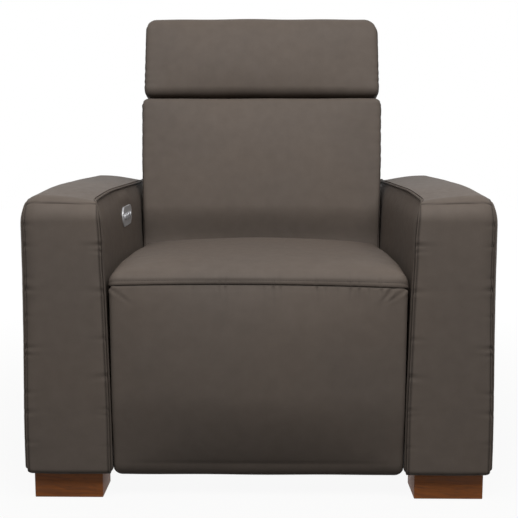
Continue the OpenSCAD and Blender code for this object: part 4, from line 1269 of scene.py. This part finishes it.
@dataclass
class SeatCushion(Upholstery):
    """The seat: a crowned cushion that rolls over the front to a seam above the footrest."""

    box: Box = box_field("seat_cushion")
    arm: Box = box_field("arm_cover_right")
    seam_z: float = 456 * MM
    set_back: float = 2 * MM
    crown: float = 17 * MM
    crown_shares: tuple = (0.6, 0.55)
    rear_dip: float = 2 * MM
    side_rise: float = 14 * MM
    nose_depth: float = 101 * MM
    roll: float = 22 * MM
    draw_in: float = 2 * MM
    swell: float = 4 * MM
    stitch_at: float = 9 * MM
    stitch_width: float = 1.5 * MM
    stitch_depth: float = 1.0 * MM
    fold_end: float = 120 * MM
    rows: Rows = Rows(panel=(2 * MM, 4.2 * MM), deeper=3, middle=190)

    @property
    def front(self) -> float:
        """Y of the cushion's front."""
        return self.arm.lo.y + self.set_back

    @property
    def edge(self) -> float:
        """Height of the cushion's side edges."""
        return self.box.hi.z - self.crown

    def outline(self) -> Outline:
        """The side outline at the sides, from the front seam up."""
        rear, foot, under = self.box.hi.y, self.box.lo.z, self.front + self.nose_depth
        return Outline([
            Corner(self.front, self.seam_z, 1.5 * MM, 3 * MM), Corner(self.front, self.edge, 17 * MM, 6 * MM),
            Corner(rear, self.edge - self.rear_dip, 22 * MM, 12 * MM),
            Corner(rear - (self.edge - foot) * math.tan(Leaning().lean), foot, 6 * MM, 20 * MM),
            Corner(under, foot, 2 * MM, 8 * MM), Corner(under, self.seam_z, 2 * MM, 8 * MM),
        ], 2.5 * MM)

    def half(self, y: np.ndarray, z: np.ndarray) -> np.ndarray:
        """Half width, a little less in the middle of the sides."""
        middle, reach = self.box.mid.y, (self.box.hi.y - self.box.lo.y) / 2
        return self.box.hi.x - self.draw_in * arch((y - middle) / reach)

    def lifted(self, rings: np.ndarray) -> np.ndarray:
        """The plain form with its crown, which eases in behind the front."""
        x, y, z = np.moveaxis(rings, -1, 0)
        behind = y - self.front
        share = x / self.box.hi.x
        bare = np.clip((z - self.seam_z) / (self.edge - self.seam_z), 0, 1)
        ease = np.sin(QUARTER * np.clip((behind + 6 * MM) / (70 * MM), 0, 1))
        hump = np.sin(QUARTER * np.clip(behind / (120 * MM), 0, 1)) * smooth((self.box.hi.y - y) / (300 * MM))
        hump = hump * (1 - 0.45 * arch(share))
        whole, more_behind = self.crown_shares
        crown = self.crown * (whole + more_behind * smooth((y - self.box.mid.y) / (200 * MM)))
        lift = (crown * arch(share) ** 0.9 * ease + self.side_rise * hump) * bare
        forward = self.swell * arch(share) * bare * (1 - bare * 0.4) * arch(behind / (45 * MM))
        return np.stack([x, y - forward, z + lift + seam_sag(x) * (1 - smooth(bare * 0.9))], axis=-1)

    def build(self) -> None:
        """Builds the cushion and its stitches."""
        outline = self.outline()
        form = EvenForm(outline, self.half, self.roll, 25 * MM, 32 * MM)
        across = form.rows(self.rows)
        plain = self.lifted(form.place(across))
        along, x = outline.along, plain[..., 0]
        from_side = np.minimum(*form.from_seams(across))
        seam_at = along[np.argmax(outline.normals[:, 0] < -0.99)]
        from_seam = np.maximum(along - seam_at, 0) * np.ones_like(x)
        at_stitch = ridge(from_seam - self.stitch_at, self.stitch_width) * (along < 30 * MM)
        height = -self.stitch_depth * at_stitch
        # Painted shade in the front seam, along its stitch line and in the folds' grooves.
        shade = np.maximum(0.35 * at_stitch, 0.6 * ridge(from_seam, 1.6 * MM) * (along < 20 * MM))
        for fold in puckers((-0.078, 10, 0.9, 3.6), (-0.066, 9, 0.9, 3.4), (0.03, 9, 0.8, 3.6),
                            (0.043, 10, 0.7, 3.6), (0.115, 12, 1.0, 3.8), (0.185, 12, 1.0, 3.8),
                            (0.202, 10, 0.8, 3.6), (0.245, 12, 1.0, 4.2)):
            height = height + fold.shape(x, from_seam) * (along < self.fold_end)
            shade = np.maximum(shade, fold.shadow(x, from_seam) * (along < self.fold_end))
        up = smooth(outline.normals[:, 1] * 2)
        free = smooth(from_side / (26 * MM)) * np.maximum(up, smooth(-outline.normals[:, 0] * 2))
        free = free * smooth(from_seam / (14 * MM)) * smooth((self.box.hi.y - plain[..., 1]) / (20 * MM))
        plain = plain + Simulation().swollen(plain, free, 0.5 * self.crown)
        wave = drift(plain[..., 0], plain[..., 1], 0.26, 2.2)
        height = height + 0.8 * MM * wave * up * smooth(from_side / (50 * MM))
        rings = plain + facing(plain, outline) * height[..., None]
        self.pad(rings, shade, "seat_padding", 0.8, "seat", "seat_cushion")
        column = int(np.argmin(np.abs(from_seam[0] - self.stitch_at) + (along > 30 * MM)))
        rows = slice(form.low_seam_row + 2, form.high_seam_row - 1)
        self.sew("seat_stitches", [(rings[rows, column], facing(rings, outline)[rows, column])], "seat")


@dataclass
class FootrestPad(Upholstery):
    """The panel under the seat's front, which lifts as the footrest."""

    box: Box = box_field("footrest_pad")
    arm: Box = box_field("arm_cover_right")
    crown: float = 16 * MM
    fullest: float = 285 * MM
    flat_at: float = 80 * MM
    fall: float = 15 * MM
    foot_drop: float = 9 * MM
    foot_roll: float = 30 * MM
    roll: float = 10 * MM
    draw_in: float = 0.5 * MM
    low_corner: float = 13 * MM
    top: float = 455.8 * MM
    top_depth: float = 26 * MM
    back_top: float = 432 * MM
    bend_from: float = 450 * MM
    bend_to: float = 412 * MM
    gather_depth: float = 2.4 * MM
    gathers: tuple = ((-0.13, 0.3), (-0.078, 0.5), (-0.066, 0.9), (0.012, 0.4), (0.03, 0.9), (0.045, 0.7),
                      (0.118, 0.9), (0.135, 0.5), (0.16, 0.4), (0.186, 0.8), (0.203, 0.9), (0.222, 0.6),
                      (0.247, 0.8), (0.262, 0.5))
    corner_folds: tuple = ((-0.288, 1.3), (0.283, -1.2), (0.262, -0.6))
    corner_fold_depth: float = 2.2 * MM
    rows: Rows = Rows(panel=(2 * MM, 4.2 * MM, 9 * MM), deeper=3, middle=190)

    @property
    def foot(self) -> float:
        """Height of the panel's foot."""
        return self.box.lo.z - self.foot_drop

    def outline(self) -> Outline:
        """The side outline, from the front's foot up."""
        front, rear = self.arm.lo.y, self.box.hi.y
        return Outline([
            Corner(front, self.foot, self.foot_roll, 4.5 * MM),
            Corner(front + 0.5 * MM, self.top, 2.5 * MM, 6 * MM),
            Corner(front + self.top_depth, self.top, 8 * MM, 8 * MM),
            Corner(rear, self.back_top, 12 * MM, 12 * MM), Corner(rear, self.foot, 8 * MM, 8 * MM),
        ], 2.5 * MM)

    def half(self, y: np.ndarray, z: np.ndarray) -> np.ndarray:
        """Half width: drawn in at mid height and round at the lower corners."""
        corner = np.clip((self.foot + self.low_corner - z) / self.low_corner, 0, 1)
        middle = (2 * z - self.foot - self.top) / (self.top - self.foot)
        rounding = self.low_corner * (1 - np.sqrt(1 - corner ** 2)) * 0.8
        return self.box.hi.x - self.draw_in * arch(middle) - rounding

    def bulge(self, plain: np.ndarray) -> np.ndarray:
        """How far the front face stands out at each point of the plain form.

        Args:
            plain: The plain form's points.

        Returns:
            The distances.
        """
        x, y, z = np.moveaxis(plain, -1, 0)
        reach = np.where(z > self.fullest, self.top - 6 * MM - self.fullest, self.fullest - self.flat_at)
        front = np.clip(1 - (y - self.arm.lo.y) / (30 * MM), 0, 1)
        full = arch((z - self.fullest) / reach)
        bulge = self.crown * (0.55 * full + 0.45 * np.sqrt(full)) * arch(x / self.box.hi.x) ** 0.8
        return (bulge - self.fall * smooth((self.fullest - 50 * MM - z) / (180 * MM))) * front

    def relief(self, outline: Outline, plain: np.ndarray) -> tuple[np.ndarray, np.ndarray]:
        """Height of the gathers under the seam and of the folds at both ends of it, and the shade painted
        into the seam and the gathers.

        Args:
            outline: The side outline.
            plain: The plain form's points.

        Returns:
            The heights and the painted shades.
        """
        x, top = plain[..., 0], self.top - plain[..., 2]
        # The shade is painted shade in the seam at the top and in the gathers' grooves.
        height, shade = np.zeros_like(x), 0.6 * ridge(top, 1.6 * MM)
        in_front = outline.normals[:, 0] < 0.2
        for place, size in self.gathers:
            fold = Pucker(place, 11 * MM, self.gather_depth * size, 4.0 * MM, 0.1 * math.sin(60 * place))
            height = height + fold.shape(x, top) * in_front
            shade = np.maximum(shade, fold.shadow(x, top) * in_front)
        for place, tilt in self.corner_folds:
            line = (x - place) - tilt * (top - 12 * MM)
            height = height - self.corner_fold_depth * ripple(line, 6 * MM) * ridge(top - 14 * MM, 14 * MM)
        return height, shade

    def build(self) -> None:
        """Builds the pad, whose cover bends from the seat to the footrest."""
        outline = self.outline()
        form = EvenForm(outline, self.half, self.roll, 20 * MM, 28 * MM)
        across = form.rows(self.rows)
        plain = form.place(across)
        x, z = plain[..., 0], plain[..., 2]
        from_side, top = np.minimum(*form.from_seams(across)), self.top - z
        height, shade = self.relief(outline, plain)
        wave = drift(x, z, 0.31, 0.4) * smooth(from_side / (50 * MM)) * smooth(top / (50 * MM))
        height = height + 0.9 * MM * wave
        free = smooth(from_side / (30 * MM)) * smooth(-outline.normals[:, 0] * 2) * smooth(top / (30 * MM))
        rings = plain + facing(plain, outline) * height[..., None]
        rings = rings + Simulation().swollen(plain, free, 0.3 * self.crown)
        rings[..., 1] -= self.bulge(plain)
        rings[..., 2] += seam_sag(x) * smooth((z - self.top + 70 * MM) / (70 * MM))
        thing = self.skin(rings, shade, "footrest_padding")
        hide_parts("footrest_pad")
        front_y = self.arm.lo.y
        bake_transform(thing, "seat", "footrest", (0, front_y, self.bend_from), (0, front_y, self.bend_to))
        log.info("%s: %d faces, bends from seat to footrest", thing.name, len(thing.data.polygons))


@dataclass
class LeaningPad(Upholstery):
    """What the back cushion and the headrest share: their frame, and seams that aren't topstitched."""

    back: Leaning
    front_depth: float = 40 * MM
    fold_end: float = 60 * MM
    seam: Seam = Seam()
    seam_height: float = 0.7
    seam_shade: float = 0.8

    def sides(self, form: EvenForm, across: np.ndarray) -> tuple[np.ndarray, np.ndarray, np.ndarray]:
        """Distance from the nearer side seam, and the seams' height and painted shade.

        Args:
            form: The pad's form.
            across: Distance across at each point.

        Returns:
            The distances, heights and painted shades.
        """
        from_side = np.minimum(*form.from_seams(across))
        height = self.seam.shape(np.abs(from_side)) * self.seam_height
        return from_side, height, self.seam.shadow(from_side) * self.seam_shade


@dataclass
class BackCushion(LeaningPad):
    """The back cushion, between the seat and the headrest."""

    depth: float = 140 * MM
    foot: float = 20 * MM
    top: float = 461.5 * MM
    crown: float = 16 * MM
    half_low: float = 308.5 * MM
    widen: float = 7 * MM
    widen_from: float = 100 * MM
    widen_over: float = 200 * MM
    draw_in: float = 2 * MM
    tuck: float = 32 * MM
    corner: float = 12 * MM
    roll: float = 12 * MM
    gathers: Gathers = Gathers(((0.44, 0.9), (0.41, 0.7), (0.375, 0.9), (0.34, 0.6), (0.31, 0.8),
                                (0.27, 0.5)), 6 * MM, -9 * MM, 0.7)

    @property
    def middle(self) -> float:
        """Height at which the cushion is fullest."""
        return (self.widen_from + self.top) / 2

    def outline(self) -> Outline:
        """The side outline in the back's frame, from the front's foot up."""
        return Outline([
            Corner(0, self.foot, 25 * MM, 4 * MM), Corner(0, self.top, 13 * MM, 8 * MM),
            Corner(self.depth, self.top, 6 * MM, 14 * MM), Corner(self.depth, self.foot, 8 * MM, 14 * MM),
        ], 3 * MM)

    def half(self, y: np.ndarray, z: np.ndarray) -> np.ndarray:
        """Half width, wider where the arms lean outward and round at the upper corners."""
        return (self.half_low + self.widen * np.clip((z - self.widen_from) / self.widen_over, 0, 1)
                - self.draw_in * arch((z - self.middle) / (self.top - self.middle))
                - 0.6 * self.corner * quarter_round((z - self.top + self.corner) / self.corner))

    def bulge(self, plain: np.ndarray) -> np.ndarray:
        """How far the front face stands out at each point, and draws in behind the seat.

        Args:
            plain: The plain form's points.

        Returns:
            The distances.
        """
        x, y, z = np.moveaxis(plain, -1, 0)
        full = arch((z - self.middle) / (self.top - self.middle + 12 * MM)) * arch(x / self.half_low) ** 0.8
        tucked = 1 - smooth((z - self.widen_from + 20 * MM) / (95 * MM))
        return 0.7 * (self.crown * full - self.tuck * tucked) * np.clip(1 - y / self.front_depth, 0, 1)

    def build(self) -> None:
        """Builds the cushion."""
        outline = self.outline()
        form = EvenForm(outline, self.half, self.roll, 50 * MM, 69 * MM)
        across = form.rows(LEANING_ROWS)
        plain = form.place(across)
        x, y, z = np.moveaxis(plain, -1, 0)
        from_low, from_high = form.from_seams(across)
        from_side, height, shade = self.sides(form, across)
        height = height + self.gathers.height(z, from_high, from_low) * (y < self.fold_end)
        height = height + 1.0 * MM * drift(x, z, 0.3, 3.1) * smooth(from_side / (50 * MM))
        free = smooth(from_side / (30 * MM)) * smooth(-outline.normals[:, 0] * 2)
        rings = plain + facing(plain, outline) * height[..., None]
        rings = rings + Simulation().swollen(plain, free, 0.4 * self.crown)
        rings[..., 1] -= self.bulge(plain)
        self.pad(self.back.placed(rings), shade, "back_padding", 0.8, "back", "back_cushion")


@dataclass
class Headrest(LeaningPad):
    """The headrest: a roll over its own board, which tilts on two hinges."""

    depth: float = 118 * MM
    foot: float = 468.0 * MM
    top: float = 679.2 * MM
    bulge: float = 10 * MM
    rise: float = 3 * MM
    half_low: float = 310 * MM
    taper: float = 3 * MM
    corners: tuple = (28 * MM, 46 * MM)
    roll: float = 14 * MM
    gathers: Gathers = Gathers(((0.5, 1.0), (0.515, 0.7), (0.535, 0.8), (0.56, 0.5), (0.6, 0.4)),
                               5 * MM, 6 * MM, 0.8)

    def outline(self) -> Outline:
        """The side outline in the back's frame, from the front's foot up."""
        return Outline([
            Corner(0, self.foot, 23 * MM, 4 * MM), Corner(0, self.top, 34 * MM, 7 * MM),
            Corner(self.depth, self.top, 26 * MM, 9 * MM), Corner(self.depth, self.foot, 10 * MM, 9 * MM),
        ], 3 * MM)

    def half(self, y: np.ndarray, z: np.ndarray, side: int = 0) -> np.ndarray:
        """Half width: round at the upper corners, more so on one side, and a little narrower upward."""
        size = self.corners[side]
        upward = np.clip((z - self.foot) / (self.top - self.foot), 0, 1)
        return self.half_low - self.taper * upward - size * 0.62 * quarter_round((z - self.top + size) / size)

    def build(self) -> None:
        """Builds the headrest."""
        outline = self.outline()
        form = EvenForm(outline, self.half, self.roll, 44 * MM, 58 * MM, lambda y, z: self.half(y, z, 1))
        across = form.rows(LEANING_ROWS)
        plain = form.place(across)
        x, y, z = np.moveaxis(plain, -1, 0)
        middle, share = (self.foot + self.top) / 2, x / self.half_low
        from_side, height, shade = self.sides(form, across)
        height = height + self.gathers.height(z, *form.from_seams(across)) * (y < self.fold_end)
        height = height + 1.2 * MM * drift(x, z, 0.24, 5.2) * smooth(from_side / (50 * MM))
        free = smooth(from_side / (30 * MM)) * smooth(0.3 - outline.normals[:, 0] * 2)
        rings = plain + facing(plain, outline) * height[..., None]
        rings = rings + Simulation().swollen(plain, free, 0.5 * self.bulge)
        front = np.clip(1 - y / self.front_depth, 0, 1)
        full = arch((z - middle) / (self.top - middle)) * front * arch(share) ** 0.6
        rings[..., 1] -= 0.6 * self.bulge * full
        rings[..., 2] += self.rise * np.clip(outline.normals[:, 1], 0, 1) * arch(share) ** 0.5
        self.pad(self.back.placed(rings), shade, "headrest_padding", 0.8, "headrest", "headrest_cushion")


@dataclass
class BackShell(LeaningPad):
    """The upholstered outer back, with side boxing sewn to its rear panel."""

    front: float = 140.3 * MM
    rear: float = 233.3 * MM
    top: float = 670.2 * MM
    tuck: float = 30 * MM
    swell: float = 14 * MM
    swell_z: float = 120 * MM
    half_width: float = 305 * MM
    corner: float = 42 * MM
    roll: float = 9 * MM
    rows: Rows = Rows(panel=LEANING_ROWS.panel, deeper=4, middle=60)

    def outline(self) -> Outline:
        """The side outline in the back's frame, from the front's foot up."""
        return Outline([
            Corner(self.front, 0, 3 * MM, 14 * MM), Corner(self.front, self.top, 10 * MM, 9 * MM),
            Corner(self.rear, self.top, 30 * MM, 7 * MM),
            Corner(self.rear - self.swell, self.swell_z, 200 * MM, 7 * MM),
            Corner(self.rear - self.tuck, 0, 8 * MM, 9 * MM),
        ], 4 * MM)

    def half(self, y: np.ndarray, z: np.ndarray) -> np.ndarray:
        """Half width, round at the upper corners."""
        return self.half_width - self.corner * 0.8 * quarter_round((z - self.top + self.corner) / self.corner)

    def build(self) -> None:
        """Builds the shell and the stitches on its rear panel and top."""
        outline = self.outline()
        form = EvenForm(outline, self.half, self.roll, 30 * MM, 44 * MM)
        across = form.rows(self.rows)
        plain = form.place(across)
        from_side = np.minimum(*form.from_seams(across))
        behind = smooth(outline.normals[:, 0] * 2)
        wave = drift(plain[..., 0], plain[..., 2], 0.28, 6.4) * smooth(from_side / (40 * MM)) * behind
        height = self.seam.shape(np.abs(from_side), True) + 0.8 * MM * wave
        rings = self.back.placed(plain + facing(plain, outline) * height[..., None])
        # The seam's shadow paints shade into the side seams' grooves.
        self.pad(rings, self.seam.shadow(from_side), "back_shell_cover", 1.0, "back", "back_shell")
        normals = facing(rings, outline)
        shown = np.where((outline.normals[:, 1] > -0.5) & (outline.normals[:, 0] > -0.2))[0]
        step = self.rows.to_stitch
        lines = [(rings[row, shown], normals[row, shown])
                 for row in (form.low_seam_row + step, form.high_seam_row - step)]
        self.sew("back_shell_stitches", lines, "back")


@dataclass
class RearValance:
    """The leather-covered panel between the arms, under the back."""

    palette: Palette
    box: Box = box_field("rear_valance")
    edge: float = 5 * MM
    hem: float = 22 * MM
    hem_depth: float = 0.8 * MM
    hem_width: float = 6 * MM
    steps: tuple = ((0, 30 * MM), (2, 16 * MM))

    def build(self) -> None:
        """Builds the panel with rounded edges and a hem."""
        work = bmesh.new()
        bmesh.ops.create_cube(work, size=1.0)
        size = self.box.hi - self.box.lo
        bmesh.ops.scale(work, vec=size, verts=work.verts)
        bmesh.ops.translate(work, vec=self.box.mid, verts=work.verts)
        bmesh.ops.bevel(work, geom=work.edges, offset=self.edge, segments=4, profile=0.5,
                        affect="EDGES", material=-1)
        for axis, step in self.steps:
            count = int(size[axis] / step)
            for k in range(1, count):
                place = self.box.lo.copy()
                place[axis] += size[axis] * k / count
                normal = Vector((0, 0, 0))
                normal[axis] = 1
                bmesh.ops.bisect_plane(work, geom=[*work.verts, *work.edges, *work.faces], dist=1e-6,
                                       plane_co=place, plane_no=normal)
        work.verts.layers.float.new("seam")
        for vert in work.verts:
            if vert.co.y > self.box.hi.y - self.edge / 2:
                above = vert.co.z - self.box.lo.z - self.hem
                vert.co.y -= self.hem_depth * math.exp(-((above / self.hem_width) ** 2))
        thing = finish_mesh(work, "rear_valance_cover")
        self.palette.dress(thing, Slot.LEATHER)
        place_piece(thing, "base", ("rear_valance",))


@dataclass
class WoodenFeet:
    """The four walnut block feet, with eased edges and the bolt's counterbore."""

    palette: Palette
    edge: float = 1.6 * MM

    def build(self) -> None:
        """Builds each foot from its CAD solid."""
        for place in ("front_left", "front_right", "rear_left", "rear_right"):
            name = f"foot_{place}"
            work = bmesh.new()
            work.from_mesh(frame["nodes"][name].data)
            bmesh.ops.remove_doubles(work, verts=work.verts, dist=WELD)
            bmesh.ops.dissolve_limit(work, angle_limit=math.radians(1), verts=work.verts, edges=work.edges)
            box = Box.of(name)
            outer = [edge for edge in work.edges if self.is_outer(edge, box)]
            bmesh.ops.bevel(work, geom=outer, offset=self.edge, segments=3, profile=0.5,
                            affect="EDGES", material=-1)
            thing = finish_mesh(work, f"walnut_{name}", math.radians(35))
            self.palette.dress(thing, Slot.WALNUT)
            place_piece(thing, "base", (name,))

    def is_outer(self, edge: bmesh.types.BMEdge, box: Box) -> bool:
        """Tells whether an edge joins two of the block's corners."""
        def sides(vert: bmesh.types.BMVert) -> int:
            """Number of the block's faces that the vertex lies on."""
            near = 0.1 * MM
            return sum(min(abs(vert.co[k] - box.lo[k]), abs(vert.co[k] - box.hi[k])) < near for k in range(3))

        return all(sides(vert) == 3 for vert in edge.verts)


@dataclass
class ControlPanel:
    """The control plate's printed marks: a plain arrow on each button."""

    palette: Palette
    thickness: float = 0.25 * MM
    size: float = 3.4 * MM

    def build(self) -> None:
        """Adds the marks to the buttons."""
        for name, turn in (("back_down", 180), ("back_up", 0), ("feet_up", 0), ("feet_down", 180)):
            box = Box.of(f"button_{name}")
            work = bmesh.new()
            turned = Matrix.Rotation(math.radians(turn), 4, "X")
            for axis in ("Z", "X", "Z"):
                turned = turned @ Matrix.Rotation(QUARTER, 4, axis)
            bmesh.ops.create_cone(work, cap_ends=True, segments=3, radius1=self.size, radius2=self.size,
                                  depth=self.thickness, matrix=turned)
            bmesh.ops.translate(work, verts=work.verts, vec=(box.hi.x, box.mid.y, box.mid.z))
            thing = finish_mesh(work, f"button_mark_{name}")
            thing.data.materials.append(self.palette.ink)
            place_piece(thing, f"button_{name}")


@dataclass
class Mechanism:
    """The frame, carriage, drives and fittings, whose CAD shapes are kept."""

    palette: Palette

    def build(self) -> None:
        """Gives each CAD node that still shows the finish that its record names."""
        for name, node in sorted(frame["nodes"].items()):
            if node.hide_render:
                continue
            slot = Slot(node.data.materials[0].name.split(".")[0])
            self.palette.dress(node, slot)
            log.info("%s: CAD shape in %s", name, slot.value)


@dataclass
class Studio:
    """The camera, the lamp, the world and the floor."""

    eye: tuple = (25.93 * MM, -2253.5 * MM, 755.81 * MM)
    pitch: float = math.radians(7.76)
    yaw: float = math.radians(0.76)
    lens: float = 63.67
    sensor: float = 36.0
    sky_heights: tuple = (-0.1, 0.9)
    sky_strengths: tuple = (0.06, 0.15)
    floor_size: float = 14.0
    bounce: tuple = (0.035, 0.034, 0.032, 1.0)
    glow_distances: tuple = (0.6, 2.0)
    glow_strengths: tuple = (0.93, 1.0)
    lamp_place: tuple = (0.15, -1.8, 2.6)
    lamp_target: tuple = (0.0, 0.0, 0.7)
    lamp_size: tuple = (3.4, 1.2)
    lamp_power: float = 97.0

    def camera(self) -> None:
        """Sets the camera at the photograph's viewing angle."""
        data = bpy.data.cameras.new("camera")
        data.lens, data.sensor_width = self.lens, self.sensor
        data.clip_start, data.clip_end = 0.05, 100.0
        thing = bpy.data.objects.new("camera", data)
        thing.location = self.eye
        thing.rotation_euler = (QUARTER - self.pitch, 0.0, self.yaw)
        bpy.context.scene.collection.objects.link(thing)
        bpy.context.scene.camera = thing

    def lamp(self) -> None:
        """Adds the soft rectangular lamp over the camera."""
        data = bpy.data.lights.new("key", "AREA")
        data.shape = "RECTANGLE"
        data.size, data.size_y = self.lamp_size
        data.energy = self.lamp_power
        thing = bpy.data.objects.new("key", data)
        thing.location = self.lamp_place
        aim = Vector(self.lamp_target) - Vector(self.lamp_place)
        thing.rotation_euler = aim.to_track_quat("-Z", "Y").to_euler()
        bpy.context.scene.collection.objects.link(thing)

    def seen(self, nodes: Nodes) -> bpy.types.NodeSocket:
        """A value that is 1 for camera, glossy and transmission rays.

        Args:
            nodes: The tree that takes the nodes.

        Returns:
            The value's socket.
        """
        path = nodes.add("ShaderNodeLightPath").outputs
        value = path["Is Camera Ray"]
        for ray in ("Is Glossy Ray", "Is Transmission Ray"):
            value = nodes.add("ShaderNodeMath", {0: value, 1: path[ray]}, operation="MAXIMUM").outputs[0]
        return value

    def world(self) -> None:
        """Makes the surround: white where it is seen, and dimmer below than above as light."""
        world = bpy.data.worlds.new("studio")
        world.use_nodes = True
        nodes = Nodes(world.node_tree)
        nodes.tree.nodes.clear()
        place = nodes.add("ShaderNodeTexCoord").outputs["Generated"]
        height = nodes.add("ShaderNodeSeparateXYZ", {0: place}).outputs["Z"]
        strength = nodes.carried(height, *self.sky_heights, *self.sky_strengths)
        light = nodes.add("ShaderNodeBackground", {"Color": WHITE, "Strength": strength}).outputs[0]
        white = nodes.add("ShaderNodeBackground", {"Color": WHITE}).outputs[0]
        both = nodes.add("ShaderNodeMixShader", {0: self.seen(nodes), 1: light, 2: white}).outputs[0]
        nodes.add("ShaderNodeOutputWorld", {0: both})
        bpy.context.scene.world = world

    def floor(self) -> None:
        """Makes the floor: pale, with the chair's shadow on it."""
        work = bmesh.new()
        bmesh.ops.create_grid(work, x_segments=1, y_segments=1, size=self.floor_size / 2)
        thing = finish_mesh(work, "floor")
        material = bpy.data.materials.new("pale_floor")
        material.use_nodes = True
        nodes = Nodes(material.node_tree)
        nodes.tree.nodes.clear()
        diffuse = nodes.add("ShaderNodeBsdfDiffuse", {"Color": self.bounce}).outputs[0]
        place = nodes.add("ShaderNodeTexCoord").outputs["Object"]
        away = nodes.add("ShaderNodeVectorMath", {0: place}, operation="LENGTH").outputs["Value"]
        bright = nodes.carried(away, *self.glow_distances, *self.glow_strengths)
        glow = nodes.add("ShaderNodeEmission", {"Strength": bright}).outputs[0]
        pale = nodes.add("ShaderNodeAddShader", {0: diffuse, 1: glow}).outputs[0]
        both = nodes.add("ShaderNodeMixShader", {0: self.seen(nodes), 1: diffuse, 2: pale}).outputs[0]
        nodes.add("ShaderNodeOutputMaterial", {0: both})
        thing.data.materials.append(material)

    def build(self) -> None:
        """Sets up the studio."""
        self.camera()
        self.world()
        self.floor()
        self.lamp()
        bpy.context.scene.view_settings.view_transform = "Standard"


def main() -> None:
    """Builds the studio and every sub-assembly, and reports each piece."""
    logging.basicConfig(level=logging.INFO, format="%(message)s", stream=sys.stdout)
    palette = Palette()
    back = Leaning()
    Studio().build()
    for assembly in (
        ArmCovers(palette), SeatCushion(palette), FootrestPad(palette), BackCushion(palette, back),
        Headrest(palette, back), BackShell(palette, back), RearValance(palette), WoodenFeet(palette),
        ControlPanel(palette), Mechanism(palette),
    ):
        assembly.build()


if __name__ == "__main__":
    main()
